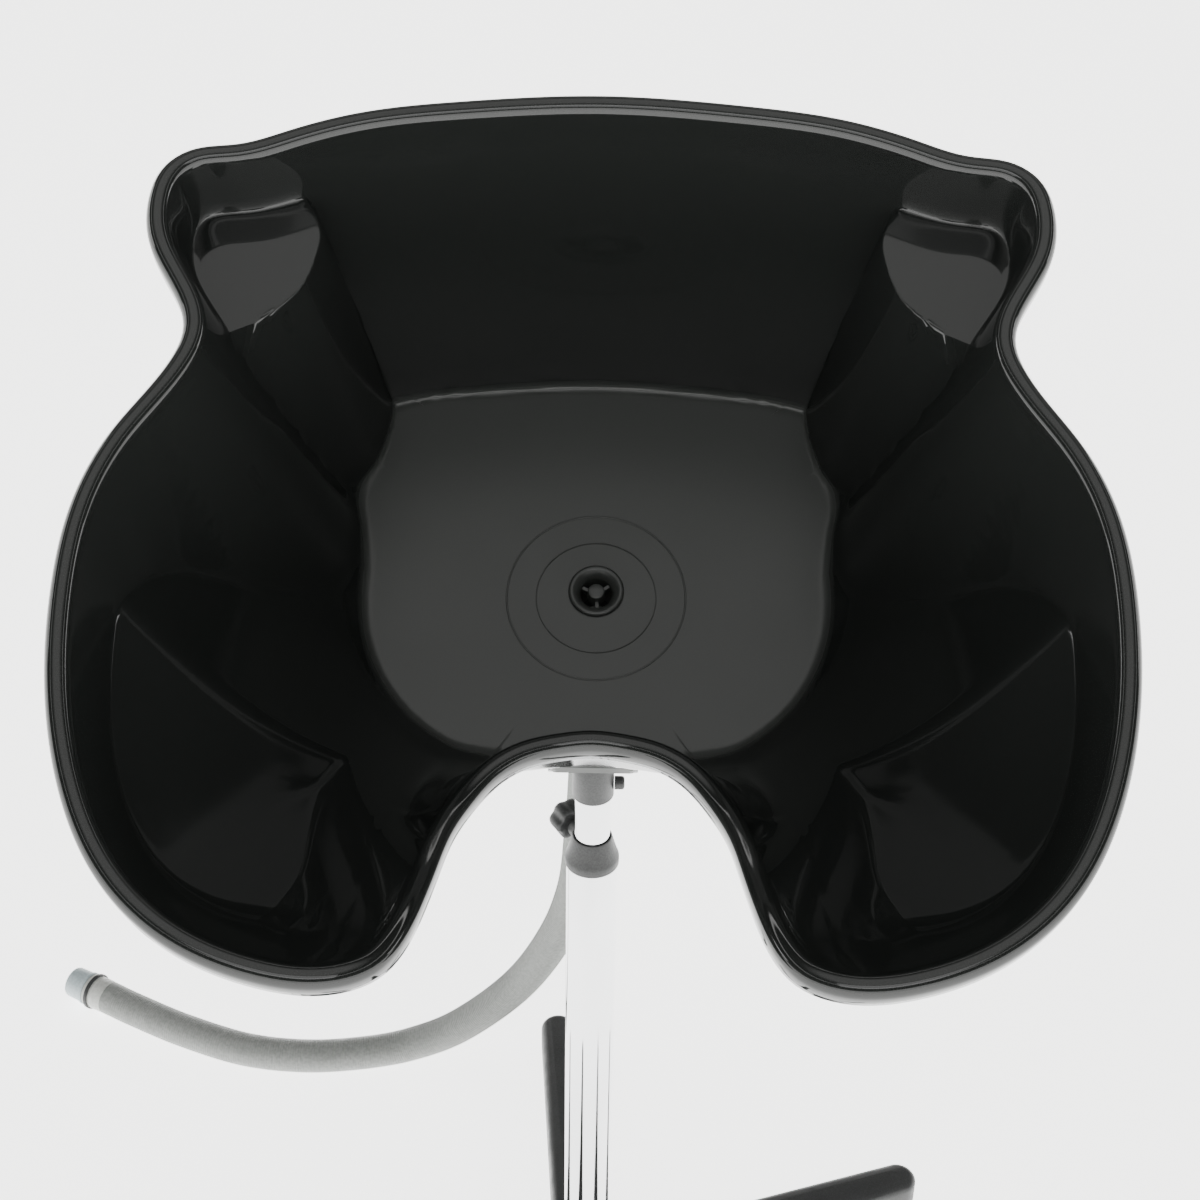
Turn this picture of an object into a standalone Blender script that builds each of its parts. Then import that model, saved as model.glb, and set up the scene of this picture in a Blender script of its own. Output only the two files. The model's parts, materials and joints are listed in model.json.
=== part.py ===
"""Portable hair-washing basin: a tilting shell on a telescoping post with a five-star base.

Metres, +Z up. The origin is on the floor, on the post's axis. +Y points to the back of the
basin, away from the neck notch, and +X to the right of somebody who looks along +Y.
Basin points are (across, away, depth): depth is measured from the plane of the rim, at right
angles to it, and away from the rim's widest line towards the back.
"""

import math

import bmesh
import bpy
import numpy as np
from mathutils import Matrix, Vector

GAP = 0.0003  # between parts that touch

# Base
ARM_COUNT = 5
ARM_FIRST = math.radians(96)  # from +X, seen from above
ARM_REACH = 0.265  # from the post's axis to the centre of the arm's round end
ARM_END_RADIUS = 0.014
ARM_ROOT_RADIUS = 0.021
ARM_END_BOTTOM, ARM_END_TOP = 0.0083, 0.034
ARM_ROOT_BOTTOM, ARM_ROOT_TOP = 0.012, 0.056
ARM_ROUND = 0.006  # taken off the arm's top edges
ARM_ROOT_OUT = 0.013  # from the post's axis to the centre of the arm's round root
HUB_RADIUS = 0.033
HUB_BOTTOM, HUB_TOP = 0.005, 0.068
HUB_FLOOR = 0.014  # thickness of the hub under the tube, with the recess for the bolt
GLIDE_RADIUS, GLIDE_HEIGHT = 0.0125, 0.008
COVER_HEIGHT, COVER_SKIRT, COVER_EDGE = 0.022, 0.004, 0.002
RECESS_RADIUS, RECESS_TOP = 0.0125, 0.0085  # under the hub, for the washer and the bolt's head
BASE_BOLT_RADIUS, BASE_BOLT_HEAD, BASE_BOLT_LOW, BASE_BOLT_HIGH = 0.005, 0.0088, 0.003, 0.026
BASE_WASHER_RADIUS, BASE_WASHER_THICK = 0.0115, 0.0018

# Post
OUTER_RADIUS, OUTER_WALL, OUTER_TOP = 0.016, 0.0015, 0.4465
INNER_RADIUS, INNER_WALL = 0.011, 0.0012
INNER_BOTTOM, INNER_TOP = 0.036, 0.5245
PLUG_HEIGHT = 0.014
COLLAR_BOTTOM, COLLAR_SKIRT_TOP, COLLAR_TOP = 0.443, 0.4485, 0.4645
COLLAR_RADIUS, COLLAR_TOP_RADIUS = 0.0169, 0.01225
BUSH_HEIGHT = 0.030
SLIDE_BUSH_THICK, SLIDE_BUSH_BORE = 0.0027, 0.0045
SOCKET_RADIUS, SOCKET_BOTTOM = 0.0127, 0.497
SOCKET_SCREW_Z, SOCKET_SCREW_RADIUS, SOCKET_SCREW_END = 0.5055, 0.0042, 0.0192

# Height knob: its axis is level, and it points back and to the left
HEIGHT_KNOB_AZIMUTH = math.radians(122)
HEIGHT_KNOB_Z = 0.4575
HEIGHT_KNOB_RADIUS = 0.012
HEIGHT_KNOB_FACE, HEIGHT_KNOB_END = 0.0215, 0.0345
BOSS_RADIUS, BOSS_END, STUD_RADIUS = 0.0065, 0.0192, 0.003
KNOB_DENT, KNOB_CHAMFER, KNOB_SKIN = 0.10, 0.0015, 0.003  # the dent is a share of the radius

# Tilt hinge
TILT = math.radians(32.7)  # of the rim, front side down
HINGE = Vector((0, 0, 0.545))
HINGE_AWAY, HINGE_DEPTH = 0.0665, 0.2667
KNUCKLE_RADIUS, KNUCKLE_HALF = 0.0125, 0.011
WASHER_THICK, EAR_THICK = 0.0015, 0.003
EAR_RADIUS, EAR_HALF_WIDTH = 0.0115, 0.019
WASHER_RADIUS = 0.0105
TILT_BOLT_RADIUS, TILT_BOLT_HEAD, TILT_BOLT_REACH = 0.004, 0.0075, 0.014
TILT_KNOB_RADIUS, TILT_KNOB_LENGTH = 0.017, 0.018
SCREW_ACROSS, SCREW_AWAY = 0.0205, 0.023  # from the bracket's middle
SCREW_RADIUS, SCREW_HEAD, SCREW_LENGTH = 0.0020, 0.0042, 0.008

# Basin shell
WALL = 0.003
LIP_WIDTH, FLANGE_DEPTH = 0.012, 0.014
FLOOR_DEPTH, DRAIN_DEPTH, DRAIN_FLAT = 0.228, 0.231, 0.024
FLOOR_FALL = 0.150  # the floor falls to the drain from this far out
FLOOR_CENTRE, FLOOR_HALF_ACROSS, FLOOR_HALF_AWAY = 0.155, 0.140, 0.125
FLOOR_POWER_BACK, FLOOR_POWER_FRONT = 4.0, 2.7  # 2 is an ellipse, and more is squarer
DISH_SLOPE, WELL_SLOPE = 0.84, 1.5  # of the lobes' dishes, and of the well round the floor
WELL_FROM, WELL_FADE = math.radians(36), math.radians(12)  # the well's wall starts in front of this
LEDGE_DEPTH, LEDGE_DROP = 0.040, 9.0  # the bottle ledges in the two back corners, and their steep fronts
LEDGE_EDGE = (  # the right ledge's edge, from the back wall to the side: across and away, in mm
    (182, 312), (161, 285), (152, 272), (149, 256), (155, 231), (165, 217), (178, 206), (205, 188),
)
FLOOR_BLEND, SIDE_BLEND, RIDGE_BLEND, VALLEY_BLEND = 0.022, 0.014, 0.007, 0.005
LEDGE_BLEND, LEDGE_ROUND = 0.016, 0.006
SIDE_BLEND_FROM = 0.030  # the side blend is whole this far inward of the rim
COLUMN_GAP = 0.019  # at most about this between two columns of the shell's mesh, at the lip
FINE_ROWS, WALL_ROWS, BEND_WEIGHT = 160, 21, 0.020
PAD_HALF, PAD_FRONT, PAD_BACK = 0.026, 0.031, 0.100
PAD_TOP, PAD_BOTTOM, PAD_CORNER = 0.2316, 0.243, 0.008

# The right half of the lip's outer edge, from the back to the neck notch, in mm and degrees:
# across, away, depth, the angle of the floor's edge below it, how far the wall under it falls for
# each 1 mm inwards, and the depth that the lobe's dish slopes down from.
HALF_OUTLINE = (
    (0, 326, 0, 90, 6.6, 0),
    (75, 321, 0, 72, 6.6, 0),
    (127, 313, 0, 61, 6.6, 0),
    (166, 300, 0, 52.5, 7, 0),
    (190, 291.5, 0, 48, 8, 0),
    (212, 288, 0, 44, 8, 0),
    (227, 277, 0, 40, 8, 0),
    (233.5, 256, 0, 35, 8, 0),
    (230, 229, 0, 29, 8, 0),
    (216, 202, 0, 22, 7, 0),
    (208, 180, 0, 15, 4.5, 0),
    (215, 156, 0, 7, 3.8, 0),
    (236, 122.5, 0, -3, 4.5, 52),
    (251, 85, 0, -12, 7, 54),
    (256, 35, 0, -22, 9, 55),
    (252.5, -13, 0, -31, 8, 54),
    (241, -60, 0, -38, 6, 52),
    (218, -104, 0, -44, 3.6, 46),
    (184, -134, 0, -48.5, 2.4, 42),
    (145, -149, 0.5, -52.5, 2.0, 40),
    (112, -151, 2, -56, 1.7, 0),
    (92, -142, 8, -59, 1.35, 0),
    (81, -125, 18, -62, 1.1, 0),
    (75, -104, 32, -65, 0.98, 0),
    (71, -84, 47, -68, 1.0, 0),
    (66, -62, 62, -71, 1.4, 0),
    (57, -41, 77, -75, 2.3, 0),
    (45, -24, 86, -79, 3.2, 0),
    (31, -14, 91, -83, 4.2, 0),
    (15, -9, 94, -87, 4.6, 0),
    (0, -7, 95, -90, 4.8, 0),
)

# Drain
DRAIN_AWAY = 0.141
DRAIN_HOLE_RADIUS = 0.0135
FLANGE_RADIUS, FLANGE_THICK = 0.0165, 0.002
TAIL_RADIUS, TAIL_BORE = 0.0129, 0.0095
TAIL_END = 0.262
GASKET_RADIUS, GASKET_THICK = 0.0195, 0.002
NUT_RADIUS, NUT_HEIGHT = 0.020, 0.009
SLEEVE_RADIUS, SLEEVE_TAPER = 0.0165, 0.004
NOZZLE_END = 0.2735
HUB_STUB, STRAINER_TOP, STRAINER_BOTTOM = 0.0052, 0.234, 0.240
SLOT_INNER, SLOT_OUTER, SLOT_ANGLES = 0.0060, 0.0083, (22, 49, 72, 98)

# Hose: the route's own points, from the nozzle to the cuff on the floor
HOSE_RADIUS = 0.014
HOSE_ROUTE = (
    (0.0, 0.0667, 0.5790),
    (0.0, 0.0828, 0.5540),
    (-0.001, 0.1010, 0.5230),
    (-0.003, 0.1250, 0.4650),
    (-0.004, 0.1420, 0.4000),
    (-0.007, 0.1590, 0.3350),
    (-0.013, 0.1770, 0.2620),
    (-0.030, 0.1970, 0.1920),
    (-0.061, 0.2270, 0.1130),
    (-0.108, 0.2430, 0.0520),
    (-0.150, 0.2500, 0.0220),
    (-0.190, 0.2460, 0.0146),
    (-0.238, 0.2410, 0.0146),
    (-0.290, 0.2470, 0.0146),
    (-0.345, 0.2670, 0.0148),
    (-0.390, 0.2885, 0.0157),
    (-0.418, 0.3035, 0.0163),
)
HOSE_POINTS_PER_SPAN = 2
CUFF_RADIUS, CUFF_BORE, CUFF_LENGTH = 0.0143, 0.0112, 0.020
FITTING_STOP_RADIUS, FITTING_RADIUS, FITTING_BORE, FITTING_LENGTH = 0.0144, 0.0135, 0.0105, 0.019
BAND_THICK, BAND_HALF_WIDTH = 0.0012, 0.002
CLAMP_BELOW_NOZZLE, CLAMP_HALF_WIDTH = 0.010, 0.004
CLAMP_SCREW_RADIUS, CLAMP_SCREW_HALF, CLAMP_SCREW_OUT = 0.0035, 0.008, 0.0192

BLACK_GLOSS = ("black_gloss_plastic", (0.012, 0.013, 0.013), 0.08, 0.0)
BLACK_SATIN = ("black_satin_plastic", (0.035, 0.035, 0.036), 0.45, 0.0)
CHROME = ("chrome", (0.86, 0.87, 0.88), 0.06, 1.0)
STEEL = ("zinc_steel", (0.62, 0.63, 0.64), 0.3, 1.0)
NYLON = ("white_nylon", (0.82, 0.82, 0.80), 0.5, 0.0)
RUBBER = ("black_rubber", (0.03, 0.03, 0.03), 0.8, 0.0)
HOSE_GREY = ("grey_hose", (0.42, 0.43, 0.42), 0.5, 0.0)
CUFF_GREY = ("light_grey_cuff", (0.62, 0.63, 0.60), 0.5, 0.0)
FITTING_GREY = ("blue_grey_fitting", (0.48, 0.54, 0.56), 0.4, 0.0)


# ---------------------------------------------------------------- helpers


def clear_scene():
    for obj in list(bpy.data.objects):
        bpy.data.objects.remove(obj, do_unlink=True)


def collection(name):
    made = bpy.data.collections.new(name)
    bpy.context.scene.collection.children.link(made)
    return made


def material(spec):
    name, colour, roughness, metallic = spec
    made = bpy.data.materials.get(name)
    if made is None:
        made = bpy.data.materials.new(name)
        made.use_nodes = True
        shader = made.node_tree.nodes["Principled BSDF"]
        shader.inputs["Base Color"].default_value = (*colour, 1)
        shader.inputs["Roughness"].default_value = roughness
        shader.inputs["Metallic"].default_value = metallic
    return made


def empty(name, location, rotation=(0, 0, 0)):
    made = bpy.data.objects.new(name, None)
    made.location, made.rotation_euler = location, rotation
    parts.objects.link(made)
    return made


def place(name, data, spec, place_at=None, parent=None):
    """A new object in the parts' collection, at a matrix in its parent's frame."""
    obj = bpy.data.objects.new(name, data)
    parts.objects.link(obj)
    if spec:
        data.materials.append(material(spec))
    obj.parent = parent
    obj.matrix_local = place_at or Matrix.Identity(4)
    return obj


def mesh_of(bm, name):
    bmesh.ops.recalc_face_normals(bm, faces=bm.faces)
    mesh = bpy.data.meshes.new(name)
    bm.to_mesh(mesh)
    bm.free()
    mesh.shade_smooth()
    mesh.set_sharp_from_angle(angle=math.radians(35))
    return mesh


def turned(name, profile, spec, place_at=None, parent=None, steps=20, closed=True):
    """A turned solid: the profile is (radius, height) down the outer side, then up the inner one."""
    bm = bmesh.new()
    corners = [bm.verts.new((r, 0, z)) for r, z in profile]
    for a, b in zip(corners, corners[1:]):
        bm.edges.new((a, b))
    if closed:
        bm.edges.new((corners[-1], corners[0]))
    mesh = bpy.data.meshes.new(name)
    bm.to_mesh(mesh)
    bm.free()
    obj = place(name, mesh, spec, place_at, parent)
    screw = obj.modifiers.new("turn", "SCREW")
    screw.steps = screw.render_steps = steps
    screw.use_merge_vertices, screw.merge_threshold = True, 0.00001
    screw.use_smooth_shade = False
    return obj


def ring(name, outer, inner, low, high, spec, place_at=None, parent=None, steps=20, chamfer=0.0004):
    """A plain bush or washer with its outer corners taken off."""
    c = min(chamfer, (high - low) / 3, (outer - inner) / 3)
    outside = ((outer - c, high), (outer, high - c), (outer, low + c), (outer - c, low))
    profile = ((inner, high), *outside, (inner, low))
    return turned(name, profile, spec, place_at, parent, steps)


def solid_rod(name, sections, spec, place_at=None, parent=None, steps=16):
    """A turned solid with no bore, from (radius, height) pairs from top to bottom."""
    profile = [(0, sections[0][1]), *sections, (0, sections[-1][1])]
    return turned(name, profile, spec, place_at, parent, steps, closed=False)


def cylinder_mesh(bm, radius, low, high, at=None, segments=24):
    """Adds a cylinder along Z to bm, moved by the matrix at."""
    move = (at or Matrix.Identity(4)) @ Matrix.Translation((0, 0, (low + high) / 2))
    return bmesh.ops.create_cone(
        bm, cap_ends=True, segments=segments, radius1=radius, radius2=radius, depth=high - low, matrix=move,
    )["verts"]


def box_mesh(bm, low, high):
    low, high = Vector(low), Vector(high)
    size = high - low
    move = Matrix.Translation((low + high) / 2) @ Matrix.Diagonal((*size, 1))
    return bmesh.ops.create_cube(bm, size=1, matrix=move)["verts"]


def hull(bm):
    """Keeps only the convex hull of bm's points."""
    bmesh.ops.delete(bm, geom=bm.edges[:] + bm.faces[:], context="EDGES_FACES")
    bmesh.ops.convex_hull(bm, input=bm.verts)
    bmesh.ops.delete(bm, geom=[v for v in bm.verts if not v.link_faces], context="VERTS")


def helper(name, mesh, place_at=None, parent=None):
    """A cutter or a filler: an operand of a Boolean, and not a part."""
    obj = bpy.data.objects.new(name, mesh)
    helpers.objects.link(obj)
    obj.parent = parent
    obj.matrix_local = place_at or Matrix.Identity(4)
    obj.hide_render, obj.display_type = True, "WIRE"
    return obj


def combine(obj, other, operation):
    step = obj.modifiers.new(operation.lower(), "BOOLEAN")
    step.operation, step.object, step.solver = operation, other, "EXACT"


def along(axis, origin=(0, 0, 0)):
    """The matrix that turns +Z to the axis and moves the origin there."""
    return Matrix.Translation(origin) @ Vector(axis).to_track_quat("Z", "Y").to_matrix().to_4x4()


def basin_point(across, away, depth):
    """A point of the basin, in the frame of the tilt pivot."""
    return Vector((across, away - HINGE_AWAY, HINGE_DEPTH - depth))


def basin_axis(away=0.0, depth=0.0):
    """A matrix whose +Z is the basin's upward normal, at a depth below the rim, on the centre line."""
    return Matrix.Translation(basin_point(0, away, depth))


# ---------------------------------------------------------------- base


def arm_mesh(angle):
    """An arm is the hull of two upright discs whose top edges are taken off in two steps."""
    bm = bmesh.new()
    way = Vector((math.cos(angle), math.sin(angle), 0))
    ends = (
        (way * ARM_REACH, ARM_END_RADIUS, ARM_END_BOTTOM, ARM_END_TOP),
        (way * ARM_ROOT_OUT, ARM_ROOT_RADIUS, ARM_ROOT_BOTTOM, ARM_ROOT_TOP),
    )
    for centre, radius, low, high in ends:
        for inset, drop in ((0, ARM_ROUND), (0.3 * ARM_ROUND, 0.3 * ARM_ROUND), (ARM_ROUND, 0)):
            cylinder_mesh(bm, radius - inset, low, high - drop, Matrix.Translation(centre), 14)
    hull(bm)
    return mesh_of(bm, "arm")


def base_star():
    """The moulded hub with its five arms, bored for the tube from above and the bolt from below."""
    bm = bmesh.new()
    cylinder_mesh(bm, HUB_RADIUS, HUB_BOTTOM, HUB_TOP, segments=40)
    star = place("base_star", mesh_of(bm, "base_star"), BLACK_SATIN)
    for k in range(ARM_COUNT):
        arm = helper(f"arm_{k + 1}", arm_mesh(ARM_FIRST + k * math.tau / ARM_COUNT))
        combine(star, arm, "UNION")
    bm = bmesh.new()
    cylinder_mesh(bm, OUTER_RADIUS + GAP, HUB_FLOOR, HUB_TOP + 0.01, segments=32)
    combine(star, helper("tube_bore", mesh_of(bm, "tube_bore")), "DIFFERENCE")
    bm = bmesh.new()
    cylinder_mesh(bm, BASE_BOLT_RADIUS + GAP, 0, HUB_FLOOR + 0.01, segments=20)
    combine(star, helper("bolt_bore", mesh_of(bm, "bolt_bore")), "DIFFERENCE")
    bm = bmesh.new()
    cylinder_mesh(bm, RECESS_RADIUS, 0, RECESS_TOP, segments=24)
    combine(star, helper("washer_recess", mesh_of(bm, "washer_recess")), "DIFFERENCE")
    return star


def glides():
    """A rubber glide under each arm, with its stem in a gap below the arm."""
    for k in range(ARM_COUNT):
        angle = ARM_FIRST + k * math.tau / ARM_COUNT
        spot = Matrix.Translation((ARM_REACH * math.cos(angle), ARM_REACH * math.sin(angle), 0))
        shoulder = GLIDE_HEIGHT * 0.6
        sections = ((GLIDE_RADIUS * 0.8, GLIDE_HEIGHT), (GLIDE_RADIUS, shoulder), (GLIDE_RADIUS, 0))
        solid_rod(f"foot_glide_{k + 1}", sections, RUBBER, spot, steps=20)


def base_fasteners():
    washer_top, bore = RECESS_TOP - GAP, BASE_BOLT_RADIUS + GAP
    washer_low = washer_top - BASE_WASHER_THICK
    ring("base_washer", BASE_WASHER_RADIUS, bore, washer_low, washer_top, STEEL, steps=16)
    head_top = washer_low - GAP
    bm = bmesh.new()
    cylinder_mesh(bm, BASE_BOLT_RADIUS, head_top - 0.001, BASE_BOLT_HIGH, segments=18)
    shaft = helper("base_bolt_shaft", mesh_of(bm, "shaft"))
    bm = bmesh.new()
    cylinder_mesh(bm, BASE_BOLT_HEAD, BASE_BOLT_LOW, head_top, segments=6)
    bolt = place("base_bolt", mesh_of(bm, "base_bolt"), STEEL)
    combine(bolt, shaft, "UNION")
    low = HUB_FLOOR + 2 * GAP
    ring("tube_plug", OUTER_RADIUS - OUTER_WALL - GAP, bore, low, low + PLUG_HEIGHT, STEEL, steps=16)
    cover_low, bore = HUB_TOP + GAP, OUTER_RADIUS + GAP
    profile = (
        (bore, cover_low + COVER_HEIGHT), (OUTER_RADIUS + COVER_EDGE, cover_low + COVER_HEIGHT),
        (HUB_RADIUS - COVER_EDGE, cover_low + COVER_SKIRT), (HUB_RADIUS, cover_low), (bore, cover_low),
    )
    turned("hub_cover", profile, BLACK_SATIN, steps=32)


# ---------------------------------------------------------------- post


def tubes():
    low = HUB_FLOOR + GAP
    ring("outer_tube", OUTER_RADIUS, OUTER_RADIUS - OUTER_WALL, low, OUTER_TOP, CHROME, steps=32)
    ring("inner_tube", INNER_RADIUS, INNER_RADIUS - INNER_WALL, INNER_BOTTOM, INNER_TOP, CHROME, steps=28)
    bore = OUTER_RADIUS - OUTER_WALL - GAP
    ring("collar_bush", bore, INNER_RADIUS + GAP, OUTER_TOP - BUSH_HEIGHT, OUTER_TOP, NYLON)
    # The lower bush is a cap over the inner tube's end, so that it stays on the tube as it slides.
    high = INNER_BOTTOM - GAP
    ring("slide_bush", bore, SLIDE_BUSH_BORE, high - SLIDE_BUSH_THICK, high, NYLON, steps=16)


def height_collar():
    """The tapered clamp collar over the outer tube's end, with the boss that the knob screws into."""
    inner, skirt_bore = INNER_RADIUS + GAP, OUTER_RADIUS + GAP
    ledge = OUTER_TOP + GAP
    profile = (
        (inner, COLLAR_TOP), (COLLAR_TOP_RADIUS - 0.0005, COLLAR_TOP),
        (COLLAR_TOP_RADIUS, COLLAR_TOP - 0.0007), (COLLAR_RADIUS, COLLAR_SKIRT_TOP),
        (COLLAR_RADIUS, COLLAR_BOTTOM), (skirt_bore, COLLAR_BOTTOM),
        (skirt_bore, ledge), (inner, ledge),
    )
    collar = turned("height_collar", profile, BLACK_SATIN, steps=28)
    way = Vector((math.cos(HEIGHT_KNOB_AZIMUTH), math.sin(HEIGHT_KNOB_AZIMUTH), 0))
    at = along(way, (0, 0, HEIGHT_KNOB_Z))
    bm = bmesh.new()
    cylinder_mesh(bm, BOSS_RADIUS, INNER_RADIUS + 0.001, BOSS_END, at, 16)
    combine(collar, helper("boss", mesh_of(bm, "boss")), "UNION")
    bm = bmesh.new()
    cylinder_mesh(bm, STUD_RADIUS + GAP, 0.005, HEIGHT_KNOB_FACE + 0.005, at, 16)
    combine(collar, helper("stud_bore", mesh_of(bm, "stud_bore")), "DIFFERENCE")


def lobed_knob(name, radius, low, high, lobes, bore, place_at, parent):
    """A clamp knob: a disc with round finger hollows and a raised hub, bored for its stud."""
    bm = bmesh.new()
    cylinder_mesh(bm, radius, low, high, segments=lobes * 8)
    step = math.tau / lobes
    for v in bm.verts:
        turn = math.atan2(v.co.y, v.co.x)
        dent = 0.5 - 0.5 * math.cos(lobes * turn)
        v.co.x *= 1 - KNOB_DENT * dent
        v.co.y *= 1 - KNOB_DENT * dent
    rims = [e for e in bm.edges if e.calc_face_angle(0) > math.radians(60)]
    bmesh.ops.bevel(bm, geom=rims, offset=KNOB_CHAMFER, segments=1, affect="EDGES")
    knob = place(name, mesh_of(bm, name), BLACK_SATIN, place_at, parent)
    bm = bmesh.new()
    cylinder_mesh(bm, bore, low - 0.01, high - KNOB_SKIN, segments=16)
    combine(knob, helper(name + "_bore", mesh_of(bm, "bore"), place_at, parent), "DIFFERENCE")
    return knob


def height_knob():
    way = Vector((math.cos(HEIGHT_KNOB_AZIMUTH), math.sin(HEIGHT_KNOB_AZIMUTH), 0))
    pivot = empty("height_knob_pivot", (0, 0, HEIGHT_KNOB_Z), along(way).to_euler())
    at, bore = Matrix.Identity(4), STUD_RADIUS + GAP
    lobed_knob("height_knob", HEIGHT_KNOB_RADIUS, HEIGHT_KNOB_FACE, HEIGHT_KNOB_END, 6, bore, at, pivot)
    tip, chamfer = INNER_RADIUS + GAP, 0.0005
    stud_top = HEIGHT_KNOB_END - KNOB_SKIN - GAP
    sections = ((STUD_RADIUS, stud_top), (STUD_RADIUS, tip + chamfer), (STUD_RADIUS - chamfer, tip))
    solid_rod("height_knob_stud", sections, STEEL, at, pivot, steps=16)


def tilt_socket():
    """The black sleeve on the inner tube with the hinge knuckle on top."""
    bm = bmesh.new()
    cylinder_mesh(bm, SOCKET_RADIUS, SOCKET_BOTTOM, HINGE.z - KNUCKLE_RADIUS + 0.001, segments=28)
    socket = place("tilt_socket", mesh_of(bm, "tilt_socket"), BLACK_SATIN)
    bm = bmesh.new()
    cylinder_mesh(bm, KNUCKLE_HALF, INNER_TOP + 0.002, HINGE.z - 0.001, segments=24)
    combine(socket, helper("neck", mesh_of(bm, "neck")), "UNION")
    across = along((1, 0, 0), HINGE)
    bm = bmesh.new()
    cylinder_mesh(bm, KNUCKLE_RADIUS, -KNUCKLE_HALF, KNUCKLE_HALF, across, 28)
    combine(socket, helper("knuckle", mesh_of(bm, "knuckle")), "UNION")
    bm = bmesh.new()
    cylinder_mesh(bm, TILT_BOLT_RADIUS + GAP, -0.03, 0.03, across, 16)
    combine(socket, helper("knuckle_bore", mesh_of(bm, "knuckle_bore")), "DIFFERENCE")
    bm = bmesh.new()
    cylinder_mesh(bm, INNER_RADIUS + GAP, SOCKET_BOTTOM - 0.01, INNER_TOP + GAP, segments=28)
    combine(socket, helper("socket_bore", mesh_of(bm, "socket_bore")), "DIFFERENCE")
    screw_at, chamfer = along((1, 0, 0), (0, 0, SOCKET_SCREW_Z)), 0.001
    radius, end = SOCKET_SCREW_RADIUS, SOCKET_SCREW_END
    sections = ((radius - chamfer, end), (radius, end - chamfer), (radius, SOCKET_RADIUS + GAP))
    solid_rod("socket_screw", sections, BLACK_SATIN, screw_at, steps=18)


# ---------------------------------------------------------------- basin shell


def closed_spline(points, longest):
    """Points on a smooth closed curve through the given ones, no further apart than about longest.

    It is the periodic cubic spline over the lengths of the chords in the first two columns.
    """
    p = np.array(points, float)
    n = len(p)
    h = np.linalg.norm(np.roll(p, -1, 0)[:, :2] - p[:, :2], axis=1)
    slope = (np.roll(p, -1, 0) - p) / h[:, None]
    system = np.zeros((n, n))
    for i in range(n):
        system[i, i - 1] += h[i - 1]
        system[i, i] += 2 * (h[i - 1] + h[i])
        system[i, (i + 1) % n] += h[i]
    bend = np.linalg.solve(system, 6 * (slope - np.roll(slope, 1, 0)))
    found = []
    for i in range(n):
        j, steps = (i + 1) % n, max(1, round(h[i] / longest))
        for t in np.arange(steps) / steps:
            cubic_a, cubic_b = (1 - t) ** 3 - (1 - t), t**3 - t
            straight = (1 - t) * p[i] + t * p[j]
            found.append(straight + h[i] ** 2 / 6 * (cubic_a * bend[i] + cubic_b * bend[j]))
    return np.array(found)


def outline():
    """The whole lip's outer edge, from the back centre by the right side round to the left side.

    A point is (across, away, depth, cosine and sine of the floor's angle, wall's fall, dish's depth).
    """
    x, y, depth, angle, fall, dish = np.array(HALF_OUTLINE, float).T
    turn = np.radians(angle)
    half = np.stack([x / 1000, y / 1000, depth / 1000, np.cos(turn), np.sin(turn), fall, dish / 1000], axis=1)
    left = half[-2:0:-1] * (-1, 1, 1, -1, 1, 1, 1)
    return closed_spline(np.concatenate([half, left]), COLUMN_GAP)


def floor_edge(c, s):
    """The (across, away) points of the floor's rounded square, from an angle's cosine and sine."""
    c, s = c / np.hypot(c, s), s / np.hypot(c, s)
    power = 2 / np.where(s > 0, FLOOR_POWER_BACK, FLOOR_POWER_FRONT)
    across = FLOOR_HALF_ACROSS * np.copysign(np.abs(c) ** power, c)
    away = FLOOR_CENTRE + FLOOR_HALF_AWAY * np.copysign(np.abs(s) ** power, s)
    return np.stack([across, away], axis=-1)


def lower(a, b, blend):
    """The smaller of two depths, with a fillet where they meet."""
    near = np.maximum(blend - np.abs(a - b), 0) / blend
    return np.minimum(a, b) - near * near * blend / 4


def cones(points, line, base, fall):
    """The lowest of the cones that stand on a line: its base plus the fall times the distance from it."""
    run = line[1:] - line[:-1]
    away = points[:, None] - line[:-1]
    t = np.clip((away * run).sum(2) / (run * run).sum(1), 0, 1)
    gap = np.linalg.norm(away - t[..., None] * run, axis=2)
    starts, steps = base[:-1] + t * np.diff(base), fall[:-1] + t * np.diff(fall)
    return (starts + gap * steps).min(1)


def in_one_run(chosen, beyond):
    """The places of the chosen points of a closed line in order, and of some more beyond each end."""
    order = np.nonzero(chosen)[0]
    jumps = np.nonzero(np.diff(order) > 1)[0]
    first = order[jumps[0] + 1] if len(jumps) else order[0]
    return (first + np.arange(-beyond, len(order) + beyond)) % len(chosen)


def ledge_depth(points):
    """A flat ledge outside the ledge's edge, and a steep drop inside it."""
    route = smooth_route([(x / 1000, y / 1000, 0) for x, y in LEDGE_EDGE], 8)
    line = np.array([(q.x, q.y) for q in route])
    p = np.column_stack([np.abs(points[:, 0]), points[:, 1]])
    run = line[1:] - line[:-1]
    away = p[:, None] - line[:-1]
    t = np.clip((away * run).sum(2) / (run * run).sum(1), 0, 1)
    off = away - t[..., None] * run
    gap = np.linalg.norm(off, axis=2)
    rows, near = np.arange(len(p)), gap.argmin(1)
    side = run[near, 0] * off[rows, near, 1] - run[near, 1] * off[rows, near, 0]
    inside = np.where(side < 0, gap[rows, near], -gap[rows, near])
    return -lower(-(LEDGE_DEPTH + LEDGE_DROP * inside), -LEDGE_DEPTH, LEDGE_ROUND)


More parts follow.
